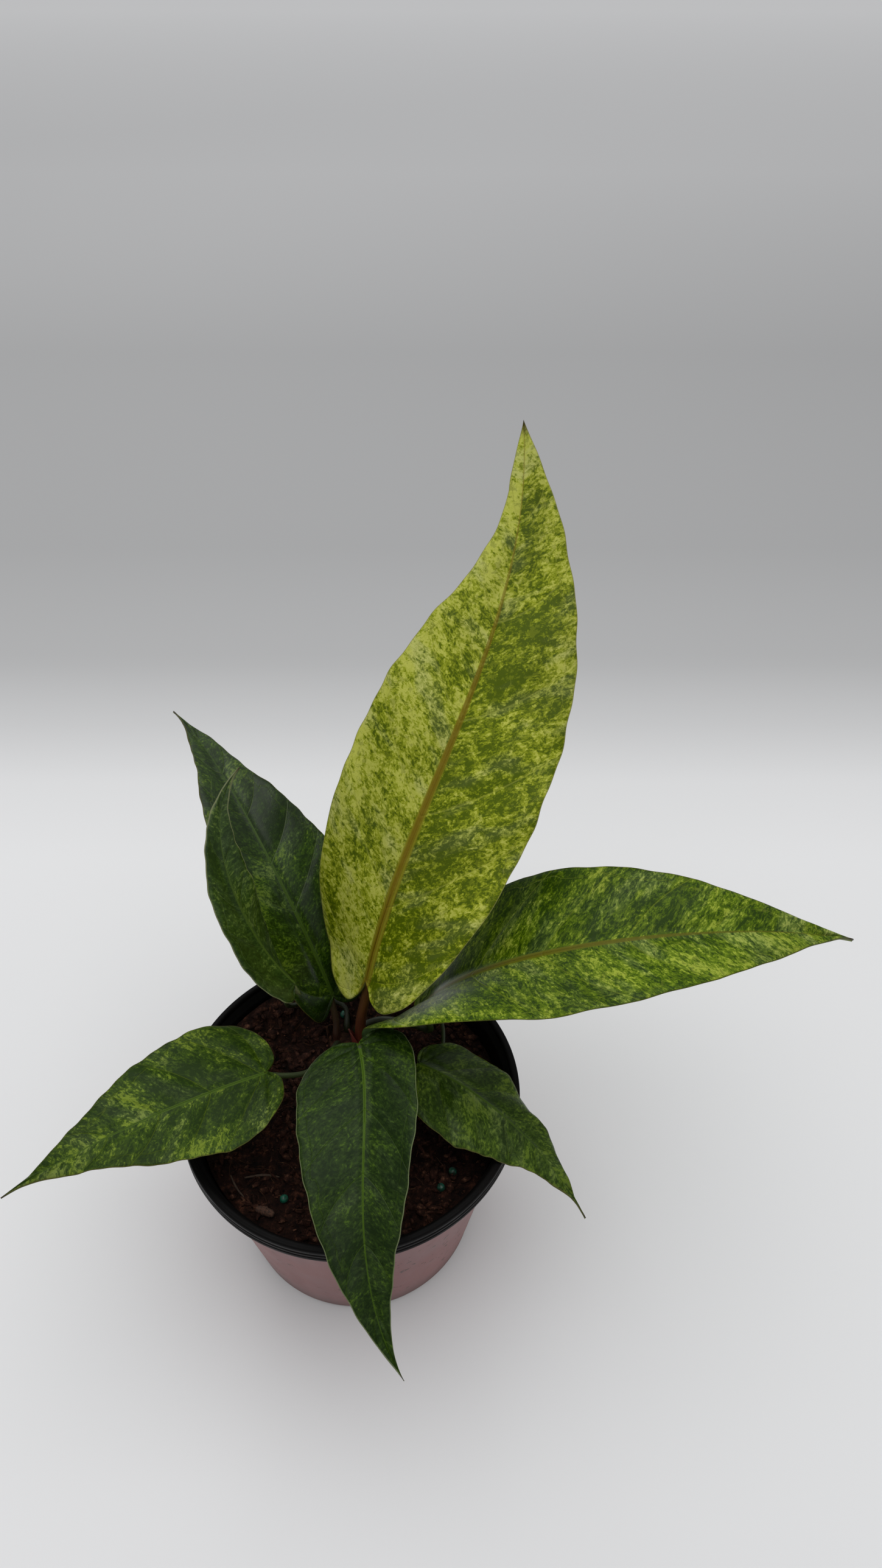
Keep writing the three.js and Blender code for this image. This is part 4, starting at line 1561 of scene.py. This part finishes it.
@dataclass
class Crown:
    """The rootstock, the pink sheath beside the tall stalk and dry scales round the crown."""

    centre: Spot = (-3.0, 33.0)
    top: float = CROWN_TOP
    body_radius: float = 11.0
    depth: float = 32.0
    knobs: float = 0.12
    rows: int = 40
    columns: int = 64
    wrap_columns: int = 25
    sheath: Wrap = Wrap((2.0, 31.5), 3.5, 13.0, 200.0, 75.0, 1.5, 0.4, 1.4)
    scales: tuple[Wrap, ...] = (
        Wrap(centre, 10.2, 5.5, 20, 24, 1.2, 0.35, 1.8),
        Wrap(centre, 9.6, 7.0, 95, 20, 1.2, 0.35, 1.8),
        Wrap(centre, 10.4, 5.0, 160, 26, 1.2, 0.35, 1.8),
        Wrap(centre, 10.0, 6.5, 235, 22, 1.2, 0.35, 1.8),
    )

    def build(self) -> None:
        """Build the rootstock, the sheath and the scales."""
        self._build_rootstock()
        self._build_sheath()
        self._build_scales()

    def _build_rootstock(self) -> None:
        """A knobbly stock, mostly hidden in the mix."""
        turn = full_turn(self.columns)
        shares = [0.0, 0.2, 0.5, 0.8, 0.93, 1.0, 1.0, 1.0]
        radii = [0.0, 0.45, 0.85, 1.0, 0.97, 0.88, 0.5, 0.0]
        places = np.linspace(0, 7, self.rows)
        path = np.interp(places, np.arange(8), shares)
        width = np.interp(places, np.arange(8), radii) * self.body_radius
        vertices = []
        for share, radius in zip(path, width):
            for angle in turn:
                x, y = math.cos(angle), math.sin(angle)
                z = self.top - self.depth * (1 - share)
                knob = noise.noise(Vector((1.6 * x, 1.6 * y, 0.3 * z)))
                reach = radius * (1 + self.knobs * knob)
                dome = 0.7 * noise.noise(Vector((0.3 * reach * x, 0.3 * reach * y, 4.0)))
                lift = dome - 0.6 if share == 1.0 else 0.0
                vertices.append((self.centre[0] + reach * x, self.centre[1] + reach * y, z + lift))
        faces = grid_faces(self.rows, self.columns, closed=True)[:, ::-1]
        piece = mesh_object("rootstock_visual", np.array(vertices), faces)
        weld(piece)
        finish_piece(piece, [CrownFinish().material("corky_rootstock")], "root_tissue", "rootstock")

    def _shell(self, name: str, wrap: Wrap) -> bpy.types.Object:
        """Make a sheath.

        Args:
            name: The piece's name.
            wrap: How it is wrapped.

        Returns:
            The object, with the map "stalk" across it and up it.
        """
        rows, columns = self.rows, self.wrap_columns
        rise = np.linspace(0, 1, rows)[:, None]
        across = np.linspace(-1, 1, columns)[None]
        turn = np.radians(wrap.middle + wrap.reach * (1 - 0.97 * rise**wrap.power) * across)
        out = wrap.radius + wrap.lean * rise**2 + 0.25 * np.sin(9 * across + 5 * rise)
        base = np.stack([wrap.foot[0] + 0 * turn, wrap.foot[1] + 0 * turn, 0 * turn], axis=-1)
        direction = np.stack([np.cos(turn), np.sin(turn), 0 * turn], axis=-1)
        up = np.array([0, 0, 1.0]) * (self.top - 1.5 + (wrap.height + 1.5) * rise)[..., None]
        outer = base + direction * (out + wrap.thickness / 2)[..., None] + up
        inner = base + direction * (out - wrap.thickness / 2)[..., None] + up
        count = rows * columns
        top = grid_faces(rows, columns)[:, ::-1]
        back = grid_faces(rows, columns, first=count)
        border = [(r, 0) for r in range(rows)] + [(rows - 1, c) for c in range(1, columns)]
        border += [(r, columns - 1) for r in range(rows - 2, -1, -1)]
        border += [(0, c) for c in range(columns - 2, 0, -1)]
        loop = [r * columns + c for r, c in border]
        rims = [[a, b, b + count, a + count] for a, b in zip(loop, loop[1:] + loop[:1])]
        faces = np.concatenate([top, back, np.array(rims)])
        vertices = np.concatenate([outer.reshape(-1, 3), inner.reshape(-1, 3)])
        pairs = np.stack(np.broadcast_arrays((across + 1) / 2, rise), axis=-1).reshape(-1, 2)
        return mesh_object(name, vertices, faces, {"stalk": np.concatenate([pairs, pairs])})

    def _build_sheath(self) -> None:
        """The pink sheath beside the tall leaf's stalk."""
        piece = self._shell("crown_sheath_visual", self.sheath)
        skin = SheathFinish().material("pink_sheath_skin")
        finish_piece(piece, [skin], "pink_sheath", "crown_sheath")

    def _build_scales(self) -> None:
        """Short dry scales left by older leaves, standing round the crown."""
        material = CrownFinish().material("dry_scales")
        for number, scale in enumerate(self.scales, 1):
            finish_piece(self._shell(f"dry_scale_{number}", scale), [material], "root_tissue")


# ------------------------------------------------------------------ loose things


@dataclass(frozen=True)
class PrillFinish(Finish):
    """Green resin-coated fertilizer, more or less covered in the mix's colour; on prills in shadow
    this cover is also painted shade.
    """

    soil_and_shade: float = 0.6

    def paint(self, graph: Graph) -> None:
        """Paint by the place on the piece.

        Args:
            graph: The graph to paint in.
        """
        place = graph.object_place()
        mottle = graph.noise(place, 900.0, 3, 0.6)
        stops = [(0.35, srgb(6, 56, 42)), (0.65, srgb(18, 94, 72))]
        soil = graph.noise(place, 500.0, 3, 0.6)
        body = graph.ramp(mottle, stops)
        # The cover is the mix's colour; on the prills set to full cover it also stands for painted
        # shade.
        cover = graph.step(soil, 0.6 - 0.25 * self.soil_and_shade, 0.7, 0.0, 0.4 + 0.5 * self.soil_and_shade)
        colour = graph.mix(cover, body, srgb(30, 20, 14))
        graph.set(Base_Color=colour, Roughness=graph.step(mottle, 0.3, 0.7, 0.3, 0.45))
        graph.bump(mottle, 0.12)


@dataclass(frozen=True)
class WoodFinish(Finish):
    """Weathered wood of twigs and bark."""

    pale: Colour = srgb(88, 68, 52)
    dark: Colour = srgb(40, 28, 20)

    def paint(self, graph: Graph) -> None:
        """Paint by the map, which runs round the twig and then along it.

        Args:
            graph: The graph to paint in.
        """
        place = graph.map("stalk")
        lines = graph.noise(graph.stretch(place, (9.0, 2.5, 1.0)), 2.0, 5, 0.65)
        colour = graph.ramp(lines, [(0.38, self.dark), (0.6, self.pale)])
        graph.set(Base_Color=colour, Roughness=0.8)
        graph.bump(lines, 0.3)


BARK = WoodFinish(srgb(88, 56, 38), srgb(26, 14, 9))


@dataclass(frozen=True)
class Sliver:
    """One sliver of wood lying on the mix."""

    node: str
    start: Spot
    end: Spot
    radius: float
    bow: float
    finish: WoodFinish = WoodFinish()


@dataclass
class LooseThings:
    """Fertilizer prills, twigs and a chip of bark on the mix."""

    mix: PottingMix
    prill_radius: float = 1.8
    prill_dents: float = 0.07
    # Prills 2 and 3 are fully covered: partly soil, partly painted shade where the leaves shadow
    # them.
    prill_soil_and_shade: tuple[float, ...] = (0.3, 1.0, 1.0, 0.6)
    prills: tuple[Spot, ...] = ((-26, -46), (40, -41), (45, -34), (-7, 48))
    slivers: tuple[Sliver, ...] = (
        Sliver("twig_1", (-44, -36), (-29, -36), 0.5, 0.8),
        Sliver("twig_2", (-50, -35), (-43, -45), 0.42, -0.6),
        Sliver("bark_chip", (-37, -50.5), (-29.5, -53), 1.9, 0.3, BARK),
    )

    def build(self) -> None:
        """Build the prills, the twigs and the bark."""
        for number, (x, y) in enumerate(self.prills, 1):
            self._build_prill(number, x, y)
        for sliver in self.slivers:
            self._build_sliver(sliver)

    def _build_prill(self, number: int, x: float, y: float) -> None:
        """Build one slightly uneven prill.

        Args:
            number: Its number, from 1.
            x: Place to the right of the pot's middle.
            y: Place behind the pot's middle.
        """
        points, faces = icosphere(4)
        dents = noise_at(points, 1.4, (number, 0, 0))
        radius = self.prill_radius * (1 + self.prill_dents * dents)
        height = self.mix.height(x, y) + 0.95 * self.prill_radius
        vertices = points * radius[:, None] + np.array([x, y, height])
        piece = mesh_object(f"fertilizer_prill_{number}_visual", vertices, faces)
        material = PrillFinish(self.prill_soil_and_shade[number - 1]).material(f"prill_{number}_coat")
        finish_piece(piece, [material], "fertilizer", f"fertilizer_prill_{number}")

    def _build_sliver(self, sliver: Sliver) -> None:
        """Build one bowed sliver, thickest in the middle.

        Args:
            sliver: Its place and size.
        """
        start, end = np.array(sliver.start), np.array(sliver.end)
        across = np.array([start[1] - end[1], end[0] - start[0]])
        across = across / np.linalg.norm(across)
        path = []
        for share in (0.0, 0.33, 0.66, 1.0):
            x, y = start + (end - start) * share + across * sliver.bow * math.sin(math.pi * share)
            height = max(self.mix.height(x + dx, y) for dx in (-1.5, 0, 1.5))
            path.append(np.array([x, y, height + 0.8 + 0.5 * sliver.radius]))

        def thickness(along: Array) -> Array:
            """Radius along the sliver, with a few knots."""
            body = 0.45 + 0.55 * np.sin(math.pi * np.clip(0.05 + 0.9 * along, 0, 1))
            return sliver.radius * (body + 0.08 * np.sin(17 * along) + 0.05 * np.sin(41 * along))

        piece = tube(f"{sliver.node}_visual", path, thickness, sides=14, rings=40, groove=0.3)
        wood = sliver.finish.material(f"{sliver.node}_wood")
        finish_piece(piece, [wood], "dried_wood", sliver.node)


# ------------------------------------------------------------------ the plant


class Greens(Enum):
    """Marblings of the leaves, named for the look of each."""

    LIME = Marbling(
        dark=srgb(72, 88, 2), mid=srgb(110, 123, 8), light=srgb(146, 155, 38),
        pale=srgb(180, 184, 80), midrib=srgb(110, 88, 12), margin=srgb(140, 140, 80),
        stops=(0.468, 0.5, 0.535), crispness=0.012, overlay=0.26, left_flecks_and_light=0.016,
        right_flecks_and_light=-0.03, tip_gain=0.026, edge_gain=0.024, stretch=0.68, midrib_width=2.6,
        gloss=0.36, sheen=0.12, seed=1.7,
    )
    STREAKED = Marbling(
        dark=srgb(38, 60, 0), mid=srgb(68, 92, 0), light=srgb(102, 124, 20),
        pale=srgb(148, 162, 54), midrib=srgb(92, 86, 14), margin=srgb(76, 80, 26),
        stops=(0.472, 0.515, 0.553), left_flecks_and_light=-0.01, right_flecks_and_light=0.008, tip_gain=0.022,
        stretch=0.5, fineness=1.35, midrib_width=2.0, gloss=0.32, sheen=0.13, seed=4.3,
    )
    DEEP = Marbling(
        dark=srgb(19, 38, 0), mid=srgb(34, 56, 5), light=srgb(58, 82, 14),
        pale=srgb(86, 106, 26), midrib=srgb(54, 76, 18), margin=srgb(84, 82, 34),
        stops=(0.49, 0.54, 0.568), weights=(0.3, 0.3, 0.4), left_flecks_and_light=-0.008, crispness=0.024,
        overlay=0.2, midrib_width=1.1, gloss=0.27, sheen=0.32, seed=8.1,
    )
    # The folded leaf's right half is made paler: painted sheen of its gloss on that half.
    CREASED = Marbling(
        dark=srgb(28, 47, 8), mid=srgb(42, 63, 16), light=srgb(60, 82, 28),
        pale=srgb(92, 110, 44), midrib=srgb(64, 84, 28), margin=srgb(120, 124, 84),
        stops=(0.486, 0.54, 0.57), weights=(0.3, 0.3, 0.4), crispness=0.022, left_flecks_and_light=-0.012,
        right_flecks_and_light=0.02, overlay=0.2, midrib_width=0.9, gloss=0.3, sheen=0.34, seed=21.4,
    )
    BLUISH = Marbling(
        dark=srgb(17, 35, 1), mid=srgb(31, 50, 8), light=srgb(46, 67, 15),
        pale=srgb(66, 90, 18), midrib=srgb(66, 92, 14), margin=srgb(118, 128, 88),
        stops=(0.488, 0.545, 0.572), weights=(0.26, 0.3, 0.44), crispness=0.026,
        left_flecks_and_light=0.004, right_flecks_and_light=0.01, overlay=0.2, midrib_width=0.8, gloss=0.3, sheen=0.14,
        seed=12.9,
    )
    FERN = Marbling(
        dark=srgb(31, 50, 0), mid=srgb(50, 70, 12), light=srgb(70, 92, 24),
        pale=srgb(94, 114, 32), midrib=srgb(62, 84, 20), margin=srgb(90, 88, 44),
        stops=(0.48, 0.53, 0.56), weights=(0.28, 0.32, 0.4), crispness=0.014,
        left_flecks_and_light=-0.004, right_flecks_and_light=0.012, edge_gain=0.02, overlay=0.22, midrib_width=0.7,
        gloss=0.32, sheen=0.15, seed=27.5,
    )
    MEADOW = Marbling(
        dark=srgb(28, 48, 0), mid=srgb(44, 65, 4), light=srgb(66, 88, 14),
        pale=srgb(110, 128, 36), midrib=srgb(66, 90, 20), margin=srgb(82, 82, 36),
        stops=(0.472, 0.518, 0.551), weights=(0.28, 0.34, 0.38), left_flecks_and_light=0.012,
        right_flecks_and_light=-0.006, crispness=0.012, overlay=0.24, midrib_width=0.9, gloss=0.31,
        sheen=0.13, seed=15.2,
    )


class Shapes(Enum):
    """Shapes of the leaves, named for the place of each."""

    # The newest leaf: tall, pale and leaning back.
    TALL = LeafShape(
        name="tall_leaf", joint=(8, 30, 138), length=253, left_width=42, right_width=47,
        left_lobe=16, right_lobe=6, lobe_narrowing=0.23, widest_at=0.28, taper=1.13,
        heading=(57, 58, 95), rise=(69, 46, 48), roll=(-25, 11, -15), fold=(10, 1, 3),
        curl=(2, -2, 0), lobe_drop=-9, stalk_radius=2.6, stalk_foot=(2, 31.5),
        stalk_via=((3, 33, 104), (6.5, 33, 124)),
        swells=(Swell(1, 0.78, -8, 0.14), Swell(-1, 0.62, 3, 0.2)),
        ripple=0.7, ripple_count=8, frill=0.3, quilting=0.65,
    )
    # The long streaked leaf that points right.
    RIGHT = LeafShape(
        name="right_leaf", joint=(31, 28, 120), length=217, left_width=37, right_width=37,
        left_lobe=21, right_lobe=21, lobe_narrowing=0.49, widest_at=0.32, taper=1.5,
        heading=(-25, -1, 18), rise=(65, 13, -32), roll=(-13, 8, 1), fold=(20, 14, 14),
        curl=(5, 0, 0), lobe_drop=0, stalk_radius=1.8, stalk_foot=(1.2, 38.2),
        stalk_via=((12, 40, 94), (27, 35, 97), (35, 26, 106)),
        ripple=0.35, ripple_count=8, frill=0.12, quilting=0.85,
    )
    # The large dark leaf behind, on the left.
    BACK_LEFT = LeafShape(
        name="back_left_leaf", joint=(-11, 42, 111), length=167, left_width=27,
        right_width=30, left_lobe=8, right_lobe=11, lobe_narrowing=0.32, widest_at=0.39,
        taper=1.83, heading=(139, 125, 129), rise=(71, 33, -3), roll=(2, 16, 9),
        fold=(14, 8, 16), curl=(12, 3, -2), lobe_drop=7, stalk_radius=1.7,
        stalk_foot=(-9.6, 35), stalk_via=((-9.5, 38, 97),),
        swells=(Swell(-1, 0.66, -2.5, 0.16),), ripple=0.8, quilting=0.85,
    )
    # The narrow dark leaf folded along its midrib.
    FOLDED = LeafShape(
        name="folded_leaf", joint=(-23, 20, 148), length=105, left_width=17, right_width=14,
        left_lobe=3, right_lobe=9, lobe_narrowing=0.3, widest_at=0.18, taper=1.52,
        heading=(170, 123, 51), rise=(52, 59, 23), roll=(27, 24, 23), fold=(-9, 11, 33),
        curl=(-2, -2, 0), lobe_drop=10, stalk_radius=1.2, stalk_foot=(-4.8, 39.4),
        stalk_via=((-6, 46, 96), (-17, 48, 100), (-30, 37, 109), (-28, 27, 130)),
        ripple=0.4, quilting=0.35,
    )
    # The broad leaf that points left and forward.
    FRONT_LEFT = LeafShape(
        name="front_left_leaf", joint=(-36, -4, 116), length=113, left_width=31,
        right_width=30, left_lobe=6, right_lobe=6, lobe_narrowing=0.23, widest_at=0.17,
        taper=1.78, heading=(202, 213, 209), rise=(1, 5, -16), roll=(4, -6, 3),
        fold=(13, 9, 7), curl=(-1, 0, 0), lobe_drop=-9, stalk_radius=1.4,
        stalk_foot=(-8.8, 29.2), stalk_via=((-11, 20, 97), (-20, 3, 106)),
        ripple=0.8, quilting=0.85,
    )
    # The bluish leaf that hangs over the rim at the front.
    FRONT = LeafShape(
        name="front_leaf", joint=(5, 2, 128), length=134, left_width=24, right_width=28,
        left_lobe=6, right_lobe=6, lobe_narrowing=0.3, widest_at=0.2, taper=1.54,
        heading=(285, 272, 312), rise=(15, -24, -33), roll=(10, 11, -4), fold=(5, 15, 4),
        curl=(-2, 5, -1), lobe_drop=0, stalk_radius=1.9, stalk_foot=(-1.6, 26.6),
        stalk_via=((0, 18, 100), (3, 7, 115)), swells=(Swell(1, 0.2, -1.5, 0.04),),
        ripple=0.6, quilting=0.75,
    )
    # The short leaf with wavy edges that hooks down on the right.
    FRONT_RIGHT = LeafShape(
        name="front_right_leaf", joint=(31, 2, 114), length=96, left_width=23,
        right_width=25, left_lobe=6, right_lobe=7, lobe_narrowing=0.4, widest_at=0.24,
        taper=2, heading=(329, 325, 298), rise=(12, -26, -15), roll=(-14, -9, -11),
        fold=(3, -6, 8), curl=(-2, -7, 0), lobe_drop=1, stalk_radius=1,
        stalk_foot=(4.9, 34.2),
        stalk_via=((21, 32, 104), (38, 31, 109), (41, 20, 105), (37, 8, 107)),
        swells=(Swell(1, 0.52, -2, 0.06), Swell(1, 0.68, 1.5, 0.06)),
        ripple=1.1, ripple_count=5, quilting=0.9,
    )


class Plant:
    """The seven leaves."""

    def __init__(self) -> None:
        """Set out the leaves, from the tallest to the smallest."""
        tall = Leaf(
            Shapes.TALL.value, Greens.LIME.value, PALE_BACK, RED_STALK, "lime_leaf", "red_stalk",
            rows=240, half_columns=38, rib_height=1.2, keel_height=1.8,
        )
        right = Leaf(
            Shapes.RIGHT.value, Greens.STREAKED.value, blade_slot="mid_green_leaf", rows=220,
            half_columns=34, rib_height=1.0, keel_height=1.5,
        )
        back_left = Leaf(
            Shapes.BACK_LEFT.value, Greens.DEEP.value, stalk=BROWN_STALK, stalk_slot="red_stalk"
        )
        small = [
            (Shapes.FOLDED, Greens.CREASED),
            (Shapes.FRONT_LEFT, Greens.MEADOW),
            (Shapes.FRONT, Greens.BLUISH),
            (Shapes.FRONT_RIGHT, Greens.FERN),
        ]
        self.leaves = [tall, right, back_left]
        self.leaves += [Leaf(shape.value, greens.value) for shape, greens in small]

    def build(self) -> None:
        """Build every leaf."""
        for leaf in self.leaves:
            leaf.build()


# ------------------------------------------------------------------ studio


@dataclass(frozen=True)
class SoftBox:
    """A square light: where it hangs, where it points, how wide and how strong it is."""

    name: str
    place: Place
    aim: Place
    size: float
    power: float


@dataclass
class Studio:
    """Pale floor with a painted pool of light and painted shade, soft light from all round and
    above, and the camera.
    """

    camera_place: Place = (0.040, -0.270, 0.526)
    camera_pitch: float = 42.2
    lens: float = 25.16
    floor_size: float = 24.0
    floor_fade: float = 4.0
    floor_tint: Colour = (0.985, 0.99, 1.0)
    # Floor paint by distance behind the plant: a painted pool of light near it, painted shade where
    # a backdrop would curve up, paler again far off.
    floor_painted_light_levels: tuple[Spot, ...] = (
        (0.06, 0.84), (0.078, 0.78), (0.094, 0.63), (0.115, 0.48), (0.16, 0.42), (0.28, 0.43),
        (0.5, 0.63), (1.0, 0.85),
    )
    boxes: tuple[SoftBox, ...] = (
        SoftBox("overhead_soft_box", (0.0, 0.1, 1.8), (0.0, 0.0, 0.1), 1.8, 11.5),
        SoftBox("back_soft_box", (-0.7, 1.4, 1.2), (0.0, 0.0, 0.15), 0.9, 2.2),
    )
    sky: tuple[tuple[float, Colour], ...] = ((0.0, (0.3, 0.305, 0.32)), (0.9, (1.0, 1.0, 1.0)))
    sky_strength: float = 0.75

    def build(self) -> None:
        """Build the floor, the lights, the sky and the camera."""
        self._build_floor()
        self._build_lights()
        self._build_sky()
        self._build_camera()

    def _build_floor(self) -> None:
        """A wide flat floor, painted paler near the plant as a pool of light, with painted shade
        further back.
        """
        half = self.floor_size / 2 / MM
        corners = [(-half, -half, 0), (half, -half, 0), (half, half, 0), (-half, half, 0)]
        floor = mesh_object("studio_floor", np.array(corners), [[0, 1, 2, 3]])
        graph = Graph("floor_painted_light_and_shade")
        _, depth, _ = graph.split(graph.object_place())
        share = graph.math("DIVIDE", depth, self.floor_fade)
        tint = np.array(self.floor_tint)
        stops = [(place, tuple(level * tint)) for place, level in self.floor_painted_light_levels]
        graph.set(Base_Color=graph.ramp(share, stops), Roughness=0.7, Specular_IOR_Level=0.1)
        floor.data.materials.append(graph.material)

    def _build_lights(self) -> None:
        """A wide soft box overhead and a weaker one from behind on the left."""
        for box in self.boxes:
            light = bpy.data.lights.new(box.name, "AREA")
            light.shape = "SQUARE"
            light.size = box.size
            light.energy = box.power
            lamp = link(box.name, light)
            lamp.location = box.place
            towards = Vector(box.aim) - Vector(box.place)
            lamp.rotation_euler = towards.to_track_quat("-Z", "Y").to_euler()

    def _build_sky(self) -> None:
        """Even light, stronger from above than from the sides."""
        world = bpy.data.worlds.new("studio_sky")
        world.use_nodes = True
        tree = world.node_tree
        background = tree.nodes["Background"]
        coordinate = tree.nodes.new("ShaderNodeTexCoord")
        split = tree.nodes.new("ShaderNodeSeparateXYZ")
        ramp = tree.nodes.new("ShaderNodeValToRGB")
        set_stops(ramp, self.sky)
        tree.links.new(coordinate.outputs["Generated"], split.inputs[0])
        tree.links.new(split.outputs[2], ramp.inputs[0])
        tree.links.new(ramp.outputs[0], background.inputs["Color"])
        background.inputs["Strength"].default_value = self.sky_strength
        bpy.context.scene.world = world
        bpy.context.scene.view_settings.view_transform = "Standard"

    def _build_camera(self) -> None:
        """The camera, level from side to side and looking down along +Y."""
        data = bpy.data.cameras.new("studio_camera")
        data.sensor_width = 36.0
        data.lens = self.lens
        camera = link("studio_camera", data)
        camera.location = self.camera_place
        camera.rotation_euler = (math.radians(90 - self.camera_pitch), 0.0, 0.0)
        bpy.context.scene.camera = camera


# ------------------------------------------------------------------ main


def main() -> None:
    """Build the studio and every piece of the potted plant."""
    logging.basicConfig(level=logging.INFO, format="%(name)s: %(message)s")
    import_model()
    Studio().build()
    NurseryPot().build()
    mix = PottingMix()
    mix.build()
    Crown().build()
    Plant().build()
    LooseThings(mix).build()


if __name__ == "__main__":
    main()
